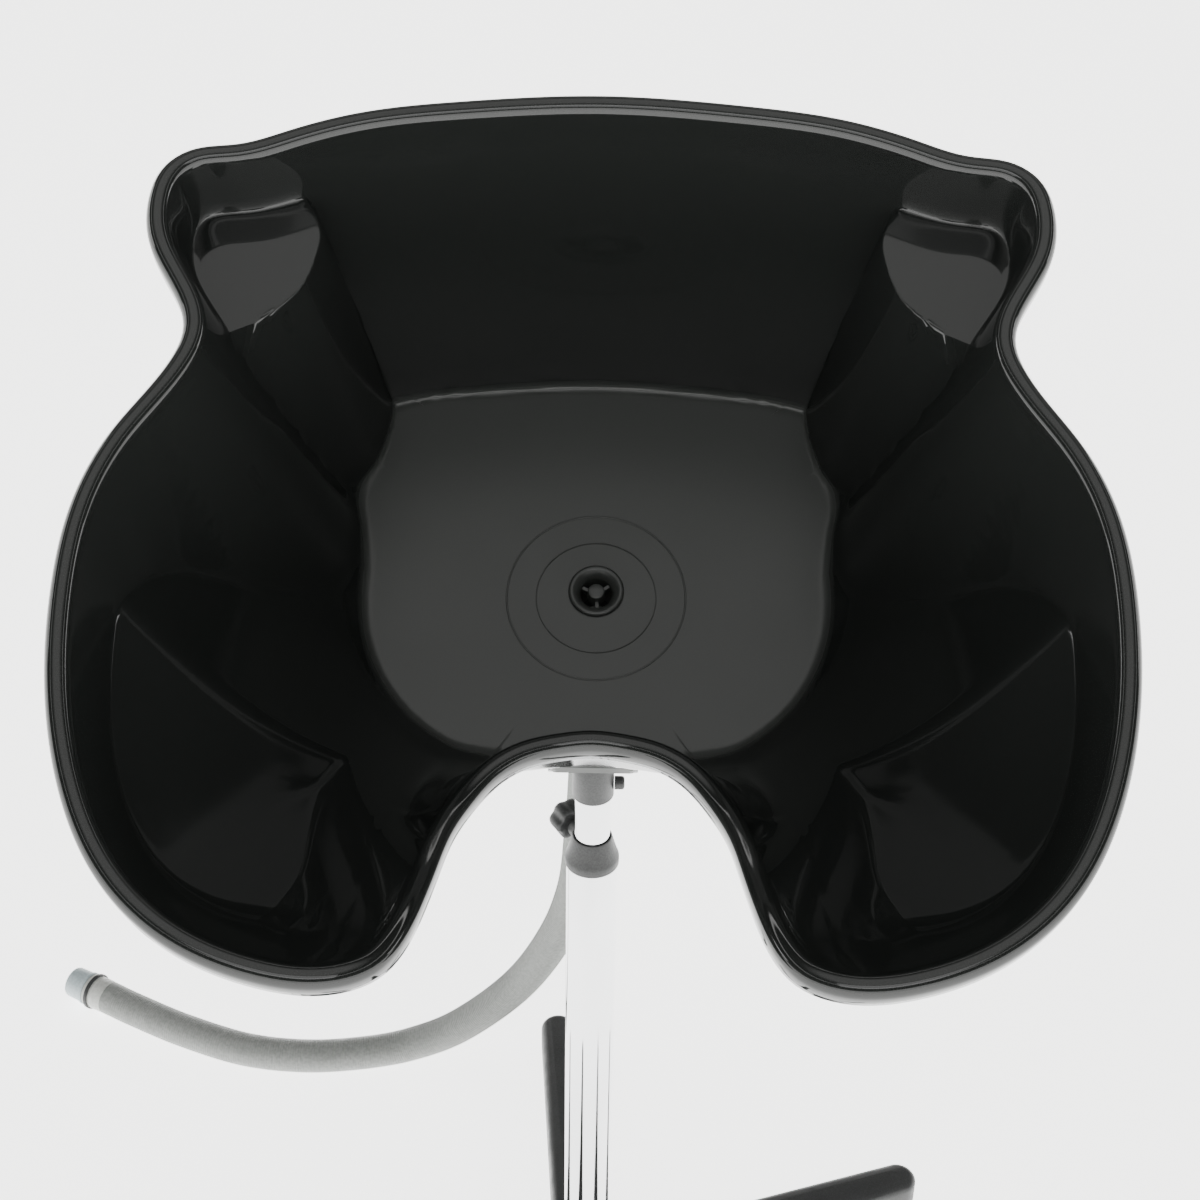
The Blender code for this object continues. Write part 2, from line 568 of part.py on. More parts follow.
def well_depth(points):
    """The well's wall, which rises outwards from the floor's rounded square everywhere but at the back."""
    turn = np.arctan2(points[:, 1] - FLOOR_CENTRE, np.abs(points[:, 0]))
    middle = np.array((0, FLOOR_CENTRE))
    foot = floor_edge(np.cos(turn), np.sin(turn))
    out = np.linalg.norm(points - middle, axis=1) - np.linalg.norm(foot - middle, axis=1)
    share = np.clip((WELL_FROM - turn) / WELL_FADE, 0, 1)
    share = share * share * (3 - 2 * share)
    return FLOOR_DEPTH - np.where(out > 0, WELL_SLOPE * share, 2 * WELL_SLOPE) * out + 0.040 * (1 - share)


def inner_depth(points, inward, rim, edge):
    """How deep the basin's inside is at each (across, away) point, given how far inward of the rim it is."""
    x, y = edge[:, 0], edge[:, 1]
    crest, fall = edge[:, 2] + LIP_WIDTH / 2, edge[:, 5]
    flank = (y < -0.050) & (np.abs(x) < 0.118)
    notch = ~flank & (y < 0.060) & (np.abs(x) < 0.100)
    lobe = edge[:, 6] > 0.035
    dish_fall = np.full(len(edge), DISH_SLOPE)
    wall, slide, dish = (np.full(len(points), 1.0) for _ in range(3))
    for side in (1, -1):
        here, half = points[:, 0] * side >= 0, x * side >= -0.001
        for depth, on, base, steep, beyond in (
            (wall, half & ~flank & ~notch, crest, fall, 1),
            (wall, half & notch, crest, fall, 1),
            (slide, half & flank, crest, fall, 1),
            (dish, half & lobe, edge[:, 6], dish_fall, 0),
        ):
            order = in_one_run(on, beyond)
            found = cones(points[here], rim[order], base[order], steep[order])
            depth[here] = np.minimum(depth[here], found)
    cavity = -lower(-lower(dish, slide, VALLEY_BLEND), -well_depth(points), RIDGE_BLEND)
    blend = SIDE_BLEND * np.clip(inward / SIDE_BLEND_FROM, 0.02, 1)
    depth = lower(lower(wall, ledge_depth(points), LEDGE_BLEND), cavity, blend)
    gap = np.linalg.norm(points - (0, DRAIN_AWAY), axis=1)
    share = np.clip((FLOOR_FALL - gap) / (FLOOR_FALL - DRAIN_FLAT), 0, 1)
    return lower(depth, FLOOR_DEPTH + (DRAIN_DEPTH - FLOOR_DEPTH) * share, FLOOR_BLEND)


def spaced(path, rows):
    """The path again with the given number of points, nearer together where it turns."""
    step = np.diff(path, axis=0)
    size = np.maximum(np.linalg.norm(step, axis=1), 1e-9)
    way = step / size[:, None]
    bend = np.concatenate([[0], np.arccos(np.clip((way[1:] * way[:-1]).sum(1), -1, 1)), [0]])
    run = np.concatenate([[0], np.cumsum(size + BEND_WEIGHT * (bend[1:] + bend[:-1]) / 2)])
    at = np.linspace(0, run[-1], rows)
    return np.stack([np.interp(at, run, values) for values in path.T], axis=1)


def shell_columns():
    """The shell's inner surface, one column of (across, away, depth) points for each outline point."""
    edge = outline()
    ahead, behind = np.roll(edge, -1, 0)[:, :2], np.roll(edge, 1, 0)[:, :2]
    run = (ahead - behind) / np.linalg.norm(ahead - behind, axis=1)[:, None]
    outward = np.stack([-run[:, 1], run[:, 0]], axis=1)
    rim, foot = edge[:, :2] - outward * LIP_WIDTH, floor_edge(edge[:, 3], edge[:, 4])
    drain = np.array((0, DRAIN_AWAY))
    to_foot = (foot - drain) / np.linalg.norm(foot - drain, axis=1)[:, None]
    share = np.linspace(0, 1, FINE_ROWS)[None, :, None]
    plan = rim[:, None] + (foot - to_foot * 0.010 - rim)[:, None] * share
    inward = np.linalg.norm(plan - rim[:, None], axis=2)
    depth = inner_depth(plan.reshape(-1, 2), inward.reshape(-1), rim, edge).reshape(plan.shape[:2])
    depth[:, 0] = edge[:, 2] + LIP_WIDTH / 2
    r = LIP_WIDTH / 2
    lip = [(0, FLANGE_DEPTH), (0, r), (0.4 * r, 0.2 * r), (1.6 * r, 0.2 * r)]
    columns = []
    for k, point in enumerate(edge):
        column = [(*(point[:2] - outward[k] * inward), point[2] + down) for inward, down in lip]
        column += [tuple(q) for q in spaced(np.column_stack([plan[k], depth[k]]), WALL_ROWS)]
        middle = (foot[k] + drain + to_foot[k] * DRAIN_FLAT) / 2
        column.append((*middle, float(inner_depth(middle[None], SIDE_BLEND_FROM, rim, edge)[0])))
        for radius in (DRAIN_FLAT, DRAIN_HOLE_RADIUS):
            column.append((*(drain + to_foot[k] * radius), DRAIN_DEPTH))
        columns.append(column)
    return columns


def basin_shell(pivot):
    bm = bmesh.new()
    columns = [[bm.verts.new(basin_point(*p)) for p in column] for column in shell_columns()]
    for left, right in zip(columns, columns[1:] + columns[:1]):
        for k in range(len(left) - 1):
            bm.faces.new((left[k], right[k], right[k + 1], left[k + 1]))
    bm.normal_update()
    floor = max(bm.faces, key=lambda face: -face.calc_center_median().z)
    if floor.normal.z < 0:
        bmesh.ops.reverse_faces(bm, faces=bm.faces)
    mesh = bpy.data.meshes.new("basin_shell")
    bm.to_mesh(mesh)
    bm.free()
    mesh.shade_smooth()
    shell = place("basin_shell", mesh, BLACK_GLOSS, parent=pivot)
    skin = shell.modifiers.new("wall", "SOLIDIFY")
    skin.thickness, skin.offset, skin.use_even_offset = WALL, -1, True
    combine(shell, mounting_pad(pivot), "UNION")
    for k, (x, y) in enumerate(screw_places()):
        bm = bmesh.new()
        cylinder_mesh(bm, SCREW_RADIUS + GAP, -0.02, SCREW_LENGTH + 2 * GAP - EAR_THICK, segments=12)
        at = Matrix.Translation(basin_point(x, y, PAD_BOTTOM))
        combine(shell, helper(f"pilot_hole_{k + 1}", mesh_of(bm, "pilot_hole"), at, pivot), "DIFFERENCE")
    return shell


def mounting_pad(pivot):
    """The thick moulded pad under the front of the floor that the bracket screws to."""
    bm = bmesh.new()
    box_mesh(bm, basin_point(-PAD_HALF, PAD_FRONT, PAD_BOTTOM), basin_point(PAD_HALF, PAD_BACK, PAD_TOP))
    upright = [e for e in bm.edges if abs((e.verts[0].co - e.verts[1].co).normalized().z) > 0.9]
    bmesh.ops.bevel(bm, geom=upright, offset=PAD_CORNER, segments=4, profile=0.5, affect="EDGES")
    return helper("mounting_pad", mesh_of(bm, "mounting_pad"), parent=pivot)


# ---------------------------------------------------------------- bracket, tilt clamp


def screw_places():
    middle = (PAD_FRONT + PAD_BACK) / 2
    return [(x, middle + y) for x in (-SCREW_ACROSS, SCREW_ACROSS) for y in (-SCREW_AWAY, SCREW_AWAY)]


def tilt_bracket(pivot):
    """The bent steel bracket: a plate under the pad and an ear on each side of the knuckle."""
    top = PAD_BOTTOM + GAP
    bm = bmesh.new()
    low = basin_point(-PAD_HALF, PAD_FRONT + 0.002, top + EAR_THICK)
    box_mesh(bm, low, basin_point(PAD_HALF, PAD_BACK - 0.002, top))
    bracket = place("tilt_bracket", mesh_of(bm, "tilt_bracket"), STEEL, parent=pivot)
    inside = KNUCKLE_HALF + WASHER_THICK + 2 * GAP
    for side, name in ((-1, "left"), (1, "right")):
        bm = bmesh.new()
        across = along((side, 0, 0))
        cylinder_mesh(bm, EAR_RADIUS, inside, inside + EAR_THICK, across, 24)
        ends = sorted((side * inside, side * (inside + EAR_THICK)))
        height = HINGE_DEPTH - top - EAR_THICK / 2
        box_mesh(bm, (ends[0], -EAR_HALF_WIDTH, height - 0.001), (ends[1], EAR_HALF_WIDTH, height))
        hull(bm)
        combine(bracket, helper(f"ear_{name}", mesh_of(bm, "ear"), parent=pivot), "UNION")
    bm = bmesh.new()
    cylinder_mesh(bm, TILT_BOLT_RADIUS + GAP, -0.03, 0.03, along((1, 0, 0)), 16)
    combine(bracket, helper("ear_bore", mesh_of(bm, "ear_bore"), parent=pivot), "DIFFERENCE")
    for k, (x, y) in enumerate(screw_places()):
        at = Matrix.Translation(basin_point(x, y, top + EAR_THICK))
        bm = bmesh.new()
        cylinder_mesh(bm, SCREW_RADIUS + GAP, -0.01, 0.01, segments=12)
        combine(bracket, helper(f"screw_hole_{k + 1}", mesh_of(bm, "hole"), at, pivot), "DIFFERENCE")
        sections = (
            (SCREW_RADIUS, SCREW_LENGTH), (SCREW_RADIUS, -GAP), (SCREW_HEAD, -GAP),
            (SCREW_HEAD, -0.0015), (SCREW_HEAD - 0.0014, -0.0026),
        )
        solid_rod(f"bracket_screw_{k + 1}", sections, STEEL, at, pivot, steps=12)


def tilt_clamp(pivot):
    """Friction washers, the bolt through the ears and the knuckle, and the knob on its right end."""
    low, high = KNUCKLE_HALF + GAP, KNUCKLE_HALF + GAP + WASHER_THICK
    bore = TILT_BOLT_RADIUS + GAP
    for side, name in ((-1, "left"), (1, "right")):
        across = along((side, 0, 0))
        ring(f"friction_washer_{name}", WASHER_RADIUS, bore, low, high, NYLON, across, pivot, 16)
    ear_out = KNUCKLE_HALF + WASHER_THICK + 2 * GAP + EAR_THICK
    sections = (
        (TILT_BOLT_RADIUS, ear_out + TILT_BOLT_REACH), (TILT_BOLT_RADIUS, -ear_out - GAP),
        (TILT_BOLT_HEAD, -ear_out - GAP), (TILT_BOLT_HEAD, -ear_out - 0.0025),
        (TILT_BOLT_HEAD - 0.003, -ear_out - 0.0045),
    )
    solid_rod("tilt_bolt", sections, STEEL, along((1, 0, 0)), pivot, steps=20)
    face, across = ear_out + GAP, along((1, 0, 0))
    lobed_knob("tilt_knob", TILT_KNOB_RADIUS, face, face + TILT_KNOB_LENGTH, 5, bore, across, pivot)


# ---------------------------------------------------------------- drain and hose


def drain(pivot):
    """The drain through the floor: flange, gasket, nut and nozzle, all about one axis."""
    axis = basin_axis(DRAIN_AWAY)
    top, seat = -DRAIN_DEPTH + GAP, -DRAIN_DEPTH - WALL
    profile = (
        (TAIL_BORE + 0.0035, top + FLANGE_THICK), (FLANGE_RADIUS - 0.0006, top + FLANGE_THICK),
        (FLANGE_RADIUS, top + FLANGE_THICK - 0.0008), (FLANGE_RADIUS, top),
        (TAIL_RADIUS, top), (TAIL_RADIUS, -TAIL_END), (TAIL_BORE, -TAIL_END), (TAIL_BORE, top - 0.002),
    )
    turned("drain_flange", profile, BLACK_GLOSS, axis, pivot, steps=28)
    low, high = seat - GAP - GASKET_THICK, seat - GAP
    ring("drain_gasket", GASKET_RADIUS, DRAIN_HOLE_RADIUS, low, high, RUBBER, axis, pivot)
    nut_top = low - GAP
    bm = bmesh.new()
    cylinder_mesh(bm, NUT_RADIUS, nut_top - NUT_HEIGHT, nut_top, segments=6)
    nut = place("drain_nut", mesh_of(bm, "drain_nut"), BLACK_SATIN, axis, pivot)
    bm = bmesh.new()
    cylinder_mesh(bm, TAIL_RADIUS + GAP, nut_top - NUT_HEIGHT - 0.01, nut_top + 0.01, segments=32)
    combine(nut, helper("nut_bore", mesh_of(bm, "nut_bore"), axis, pivot), "DIFFERENCE")
    strainer(axis, pivot)
    sleeve_top, tail = nut_top - NUT_HEIGHT - GAP, TAIL_RADIUS + GAP
    profile = (
        (tail, sleeve_top), (SLEEVE_RADIUS, sleeve_top), (SLEEVE_RADIUS, -TAIL_END),
        (HOSE_RADIUS, -TAIL_END - SLEEVE_TAPER), (HOSE_RADIUS, -NOZZLE_END), (TAIL_BORE, -NOZZLE_END),
        (TAIL_BORE, -TAIL_END - GAP), (tail, -TAIL_END - GAP),
    )
    turned("hose_nozzle", profile, BLACK_SATIN, axis, pivot)


def strainer(axis, pivot):
    """A hub on three spokes, hung in the mouth of the drain."""
    reach = TAIL_BORE - GAP
    high, low = -STRAINER_TOP, -STRAINER_BOTTOM
    bm = bmesh.new()
    cylinder_mesh(bm, HUB_STUB, low, -DRAIN_DEPTH + 0.001, segments=20)
    hub = place("drain_strainer", mesh_of(bm, "drain_strainer"), BLACK_GLOSS, axis, pivot)
    bm = bmesh.new()
    cylinder_mesh(bm, reach, low, high, segments=28)
    rim = helper("strainer_rim", mesh_of(bm, "strainer_rim"), axis, pivot)
    combine(hub, rim, "UNION")
    for k in range(3):
        bm = bmesh.new()
        spot = Matrix.Rotation(k * math.tau / 3, 4, "Z")
        wedge = bmesh.ops.create_circle(bm, cap_ends=True, segments=8, radius=1)["verts"]
        arc = [math.radians(a) for a in SLOT_ANGLES]
        rims = [(SLOT_OUTER, a) for a in arc] + [(SLOT_INNER, a) for a in reversed(arc)]
        for v, (radius, angle) in zip(wedge, rims):
            v.co = Vector((radius * math.cos(angle), radius * math.sin(angle), low - 0.002))
        top = bmesh.ops.extrude_face_region(bm, geom=bm.faces[:])["geom"]
        moved = [g for g in top if isinstance(g, bmesh.types.BMVert)]
        bmesh.ops.translate(bm, verts=moved, vec=(0, 0, high - low + 0.004))
        slot = helper(f"strainer_slot_{k + 1}", mesh_of(bm, "slot"), axis @ spot, pivot)
        combine(hub, slot, "DIFFERENCE")


def smooth_route(points, steps):
    """Points on the Catmull-Rom curve through the given ones."""
    p = [Vector(q) for q in points]
    p = [2 * p[0] - p[1], *p, 2 * p[-1] - p[-2]]
    found = []
    for a, b, c, d in zip(p, p[1:], p[2:], p[3:]):
        for k in range(steps):
            t = k / steps
            square, cube = (2 * a - 5 * b + 4 * c - d) * t**2, (3 * b - a - 3 * c + d) * t**3
            found.append(0.5 * (2 * b + (c - a) * t + square + cube))
    return [*found, p[-2]]


def drain_hose():
    """The hose as a plain tube, from the nozzle down behind the post and along the floor."""
    route = smooth_route(HOSE_ROUTE, HOSE_POINTS_PER_SPAN)
    curve = bpy.data.curves.new("drain_hose", "CURVE")
    curve.dimensions = "3D"
    line = curve.splines.new("POLY")
    line.points.add(len(route) - 1)
    for spot, at in zip(line.points, route):
        spot.co = (*at, 1)
    curve.bevel_depth, curve.bevel_resolution, curve.use_fill_caps = HOSE_RADIUS, 3, True
    place("drain_hose", curve, HOSE_GREY)


def hose_end():
    """The soft cuff, the fitting with its stop ring, and the spring clip, in line with the hose's end."""
    end, before = Vector(HOSE_ROUTE[-1]), Vector(HOSE_ROUTE[-2])
    at = along(end - before, end)
    ring("hose_cuff", CUFF_RADIUS, CUFF_BORE, GAP, CUFF_LENGTH, CUFF_GREY, at)
    low, stop, chamfer = CUFF_LENGTH + GAP, 0.003, 0.001
    high = low + FITTING_LENGTH
    profile = (
        (FITTING_BORE, high), (FITTING_RADIUS - chamfer, high), (FITTING_RADIUS, high - chamfer),
        (FITTING_RADIUS, low + stop + chamfer), (FITTING_STOP_RADIUS, low + stop),
        (FITTING_STOP_RADIUS, low), (FITTING_BORE, low),
    )
    turned("hose_end_fitting", profile, FITTING_GREY, at)
    bore, middle = CUFF_RADIUS + GAP, CUFF_LENGTH * 0.75
    low, high = middle - BAND_HALF_WIDTH, middle + BAND_HALF_WIDTH
    ring("hose_end_clip", bore + BAND_THICK, bore, low, high, BLACK_SATIN, at)


def hose_clamp(pivot):
    """The worm-drive band round the hose just below the nozzle, with its screw housing."""
    axis = basin_axis(DRAIN_AWAY)
    middle, bore = -NOZZLE_END - CLAMP_BELOW_NOZZLE, HOSE_RADIUS + GAP
    low, high = middle - CLAMP_HALF_WIDTH, middle + CLAMP_HALF_WIDTH
    ring("hose_clamp", bore + BAND_THICK, bore, low, high, STEEL, axis, pivot)
    bm = bmesh.new()
    housing = Matrix.Translation((0, CLAMP_SCREW_OUT, middle)) @ along((1, 0, 0))
    cylinder_mesh(bm, CLAMP_SCREW_RADIUS, -CLAMP_SCREW_HALF, CLAMP_SCREW_HALF, housing, 12)
    place("hose_clamp_screw", mesh_of(bm, "hose_clamp_screw"), STEEL, axis, pivot)


def main():
    base_star()
    glides()
    base_fasteners()
    tubes()
    height_collar()
    height_knob()
    tilt_socket()
    pivot = empty("basin_pivot", HINGE, (TILT, 0, 0))
    basin_shell(pivot)
    tilt_bracket(pivot)
    tilt_clamp(pivot)
    drain(pivot)
    hose_clamp(pivot)
    drain_hose()
    hose_end()


clear_scene()
parts = collection("shampoo_basin")
helpers = collection("cutters")
helpers.hide_render = True
main()
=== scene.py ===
"""The portable hair-washing basin's looks, built round its frame: metres, +Z up, +Y to the basin's back."""

import json
import math

import bmesh
import bpy
import numpy as np
from mathutils import Matrix, Vector


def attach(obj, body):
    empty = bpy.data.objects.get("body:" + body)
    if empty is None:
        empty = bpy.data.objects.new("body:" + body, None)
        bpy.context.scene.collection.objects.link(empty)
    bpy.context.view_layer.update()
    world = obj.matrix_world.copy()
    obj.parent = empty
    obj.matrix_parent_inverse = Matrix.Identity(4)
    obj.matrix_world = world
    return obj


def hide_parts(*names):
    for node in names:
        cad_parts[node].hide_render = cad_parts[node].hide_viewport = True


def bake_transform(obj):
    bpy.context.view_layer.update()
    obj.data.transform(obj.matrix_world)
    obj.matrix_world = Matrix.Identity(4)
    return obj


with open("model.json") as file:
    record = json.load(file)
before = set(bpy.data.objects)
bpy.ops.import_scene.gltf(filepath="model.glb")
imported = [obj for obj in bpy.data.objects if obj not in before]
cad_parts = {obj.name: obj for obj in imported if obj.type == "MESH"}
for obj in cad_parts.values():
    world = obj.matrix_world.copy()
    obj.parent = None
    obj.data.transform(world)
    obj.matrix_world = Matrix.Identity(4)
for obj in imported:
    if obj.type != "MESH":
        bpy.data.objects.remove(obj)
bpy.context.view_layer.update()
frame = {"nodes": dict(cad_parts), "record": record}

GAP = 0.0003  # as in the CAD solids

# Camera and hose
CAMERA_AT = (0.0039, -0.9527, 1.2653)
CAMERA_YAW, CAMERA_PITCH, CAMERA_ROLL = 0.09, 33.37, 0.92  # degrees; pitch is below the horizon
CAMERA_VIEW = 0.58248  # radians across
HOSE_RADIUS = 0.014
HOSE_ROUTE = (
    (0.0, 0.0667, 0.5790),
    (0.0, 0.0828, 0.5540),
    (-0.001, 0.1010, 0.5230),
    (-0.003, 0.1250, 0.4650),
    (-0.004, 0.1420, 0.4000),
    (-0.007, 0.1590, 0.3350),
    (-0.013, 0.1770, 0.2620),
    (-0.030, 0.1970, 0.1920),
    (-0.061, 0.2270, 0.1130),
    (-0.108, 0.2430, 0.0520),
    (-0.150, 0.2500, 0.0220),
    (-0.190, 0.2460, 0.0146),
    (-0.238, 0.2410, 0.0146),
    (-0.290, 0.2470, 0.0146),
    (-0.345, 0.2670, 0.0148),
    (-0.390, 0.2885, 0.0157),
    (-0.418, 0.3035, 0.0163),
)
RIB_PITCH, RIB_DEPTH = 0.0021, 0.00045
RIB_RINGS, HOSE_SIDES = 4, 28
HOSE_MEET, HOSE_SLEEVE = 0.200, 0.024  # lengths along it: where its two runs meet, and what grips the nozzle
PLAIN_TOP, PLAIN_END, PLAIN_FADE = 0.018, 0.006, 0.004  # lengths without ribs at its ends, and their fade

# Tilt hinge and basin, as in the CAD solids
TILT = math.radians(32.7)
HINGE = Vector((0, 0, 0.545))
HINGE_AWAY, HINGE_DEPTH = 0.0665, 0.2667
WALL = 0.003
FLANGE_DEPTH = 0.014


# ---------------------------------------------------------------- small tools


def along(axis, origin=(0, 0, 0)):
    """The matrix that turns +Z to the axis and moves the origin there."""
    return Matrix.Translation(origin) @ Vector(axis).to_track_quat("Z", "Y").to_matrix().to_4x4()


BASIN = Matrix.Translation(HINGE) @ Matrix.Rotation(TILT, 4, "X")


def basin_point(across, away, depth):
    return BASIN @ Vector((across, away - HINGE_AWAY, HINGE_DEPTH - depth))


def smooth_route(points, steps):
    """Points on the Catmull-Rom curve through the given ones."""
    p = [Vector(q) for q in points]
    p = [2 * p[0] - p[1], *p, 2 * p[-1] - p[-2]]
    found = []
    for a, b, c, d in zip(p, p[1:], p[2:], p[3:]):
        for k in range(steps):
            t = k / steps
            square, cube = (2 * a - 5 * b + 4 * c - d) * t**2, (3 * b - a - 3 * c + d) * t**3
            found.append(0.5 * (2 * b + (c - a) * t + square + cube))
    return [*found, p[-2]]


def at_lengths(points, lengths):
    """Points at the given lengths along a polyline."""
    p = np.array([tuple(q) for q in points])
    run = np.concatenate([[0], np.cumsum(np.linalg.norm(np.diff(p, axis=0), axis=1))])
    return np.stack([np.interp(lengths, run, p[:, k]) for k in range(3)], axis=1), run[-1]


def piece(name, mesh, body, look, replaced=(), smooth=True):
    """An object from a mesh in the row's frame, riding on a body if one is given."""
    obj = bpy.data.objects.new(name, mesh)
    bpy.context.scene.collection.objects.link(obj)
    mesh.materials.append(look)
    if smooth:
        mesh.shade_smooth()
        mesh.set_sharp_from_angle(angle=math.radians(50))
    if body:
        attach(obj, body)
    if replaced:
        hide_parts(*replaced)
    return obj


def mesh_from(name, points, faces):
    mesh = bpy.data.meshes.new(name)
    mesh.from_pydata([tuple(p) for p in points], [], faces)
    mesh.update()
    return mesh


# ---------------------------------------------------------------- camera


def camera():
    data = bpy.data.cameras.new("camera")
    data.angle, data.clip_start = CAMERA_VIEW, 0.01
    obj = bpy.data.objects.new("camera", data)
    turn = Matrix.Rotation(math.radians(CAMERA_YAW), 4, "Z")
    turn = turn @ Matrix.Rotation(math.radians(90 - CAMERA_PITCH), 4, "X")
    turn = turn @ Matrix.Rotation(math.radians(CAMERA_ROLL), 4, "Z")
    obj.matrix_world = Matrix.Translation(CAMERA_AT) @ turn
    bpy.context.scene.collection.objects.link(obj)
    bpy.context.scene.camera = obj


camera()


# ---------------------------------------------------------------- materials

NOISE_SPAN = 0.35, 0.65  # the stretch of a noise texture's values that is mapped to a range


def look(name, colour, roughness, metallic=0.0, **sockets):
    """A node-based material with these constants, before any noise is added to it."""
    made = bpy.data.materials.new(name)
    made.use_nodes = True
    tree = made.node_tree
    shader = tree.nodes["Principled BSDF"]
    shader.inputs["Base Color"].default_value = (*colour, 1)
    shader.inputs["Roughness"].default_value = roughness
    shader.inputs["Metallic"].default_value = metallic
    for socket, value in sockets.items():
        shader.inputs[socket].default_value = value
    return made


def noise(made, scale, detail=2.0, stretch=(1, 1, 1), rough=0.5):
    """A noise texture's factor socket, in the object's own metres."""
    tree = made.node_tree
    place = tree.nodes.new("ShaderNodeTexCoord")
    mapping = tree.nodes.new("ShaderNodeMapping")
    mapping.inputs["Scale"].default_value = stretch
    texture = tree.nodes.new("ShaderNodeTexNoise")
    texture.inputs["Scale"].default_value = scale
    texture.inputs["Detail"].default_value = detail
    texture.inputs["Roughness"].default_value = rough
    tree.links.new(place.outputs["Object"], mapping.inputs["Vector"])
    tree.links.new(mapping.outputs["Vector"], texture.inputs["Vector"])
    return texture.outputs["Fac"]


def spread(made, socket, low, high, start, end):
    """The socket's values from start to end mapped to low to high."""
    node = made.node_tree.nodes.new("ShaderNodeMapRange")
    values = (start, end, low, high)
    for name, value in zip(("From Min", "From Max", "To Min", "To Max"), values):
        node.inputs[name].default_value = value
    made.node_tree.links.new(socket, node.inputs["Value"])
    return node.outputs["Result"]


def vary_roughness(made, socket, low, high):
    shader = made.node_tree.nodes["Principled BSDF"]
    made.node_tree.links.new(spread(made, socket, low, high, *NOISE_SPAN), shader.inputs["Roughness"])


def vary_colour(made, socket, one, other):
    tree = made.node_tree
    ramp = tree.nodes.new("ShaderNodeValToRGB")
    for stop, at, colour in zip(ramp.color_ramp.elements, NOISE_SPAN, (one, other)):
        stop.position, stop.color = at, (*colour, 1)
    tree.links.new(socket, ramp.inputs["Fac"])
    tree.links.new(ramp.outputs["Color"], tree.nodes["Principled BSDF"].inputs["Base Color"])


def bumps(made, *layers):
    """Bump from (socket, depth in metres) layers, one over the other."""
    tree, before = made.node_tree, None
    for socket, depth in layers:
        node = tree.nodes.new("ShaderNodeBump")
        node.inputs["Distance"].default_value, node.inputs["Strength"].default_value = depth, 1.0
        tree.links.new(socket, node.inputs["Height"])
        if before:
            tree.links.new(before, node.inputs["Normal"])
        before = node.outputs["Normal"]
    tree.links.new(before, tree.nodes["Principled BSDF"].inputs["Normal"])


def gloss_black():
    """Injection-moulded gloss plastic: slow waves in the surface, faint orange peel, and handling haze."""
    made = look("gloss_black", (0.0110, 0.0122, 0.0114), 0.06, IOR=1.5)
    vary_roughness(made, noise(made, 9, 4, rough=0.6), 0.045, 0.11)
    vary_colour(made, noise(made, 1400, 1), (0.0098, 0.0110, 0.0102), (0.0140, 0.0152, 0.0144))
    bumps(made, (noise(made, 24, 2), 0.00006), (noise(made, 420, 1), 0.000003))
    return made


def satin_black():
    made = look("satin_black", (0.024, 0.025, 0.025), 0.4, IOR=1.42)
    vary_roughness(made, noise(made, 60, 3), 0.34, 0.50)
    vary_colour(made, noise(made, 900, 2), (0.019, 0.020, 0.020), (0.033, 0.034, 0.034))
    bumps(made, (noise(made, 2600, 2), 0.00006))
    return made


def chrome():
    made = look("chrome", (0.88, 0.89, 0.90), 0.05, 1.0)
    vary_roughness(made, noise(made, 140, 3, stretch=(1, 1, 0.02)), 0.03, 0.10)
    vary_colour(made, noise(made, 30, 2, stretch=(1, 1, 0.2)), (0.82, 0.83, 0.84), (0.93, 0.94, 0.95))
    bumps(made, (noise(made, 500, 2, stretch=(1, 1, 0.01)), 0.000012))
    return made


def zinc():
    made = look("zinc_steel", (0.60, 0.61, 0.62), 0.3, 1.0)
    vary_roughness(made, noise(made, 220, 3), 0.22, 0.42)
    vary_colour(made, noise(made, 90, 4), (0.50, 0.51, 0.52), (0.68, 0.69, 0.69))
    bumps(made, (noise(made, 1500, 2), 0.00002))
    return made


def moulded(name, dark, light, low, high, grain, depth, **sockets):
    """A plain moulded plastic or rubber: two colours, a roughness range, and a grain's scale and depth."""
    made = look(name, dark, low, **sockets)
    vary_roughness(made, noise(made, 80, 3), low, high)
    vary_colour(made, noise(made, grain / 3, 3), dark, light)
    bumps(made, (noise(made, grain, 2), depth))
    return made


GLOSS, SATIN, CHROME, ZINC = gloss_black(), satin_black(), chrome(), zinc()
NYLON = moulded("white_nylon", (0.74, 0.74, 0.71), (0.84, 0.84, 0.82), 0.35, 0.5, 1800, 0.00002)
RUBBER = moulded("black_rubber", (0.022, 0.022, 0.022), (0.040, 0.040, 0.040), 0.6, 0.85, 2200, 0.00006)
HOSE = moulded("grey_hose", (0.20, 0.21, 0.20), (0.26, 0.27, 0.255), 0.34, 0.5, 1200, 0.00002)
CUFF = moulded(
    "light_grey_cuff", (0.50, 0.51, 0.48), (0.60, 0.61, 0.58), 0.3, 0.45, 1200, 0.00002,
    **{"Transmission Weight": 0.15},
)
FITTING = moulded("blue_grey_fitting", (0.38, 0.45, 0.47), (0.46, 0.53, 0.55), 0.3, 0.42, 1500, 0.00002)


# ---------------------------------------------------------------- carried-over nodes

LOOKS = {
    "black_gloss": GLOSS, "black_satin": SATIN, "chrome": CHROME, "zinc_steel": ZINC, "white_nylon": NYLON,
    "black_rubber": RUBBER, "grey_hose": HOSE, "light_grey_cuff": CUFF, "blue_grey_fitting": FITTING,
}
for part in frame["record"]["subparts"]:
    kept = frame["nodes"].get(part["node"])
    if kept:
        kept.data.materials.clear()
        kept.data.materials.append(LOOKS[part["material_slot"]])


# ---------------------------------------------------------------- turned and moulded pieces


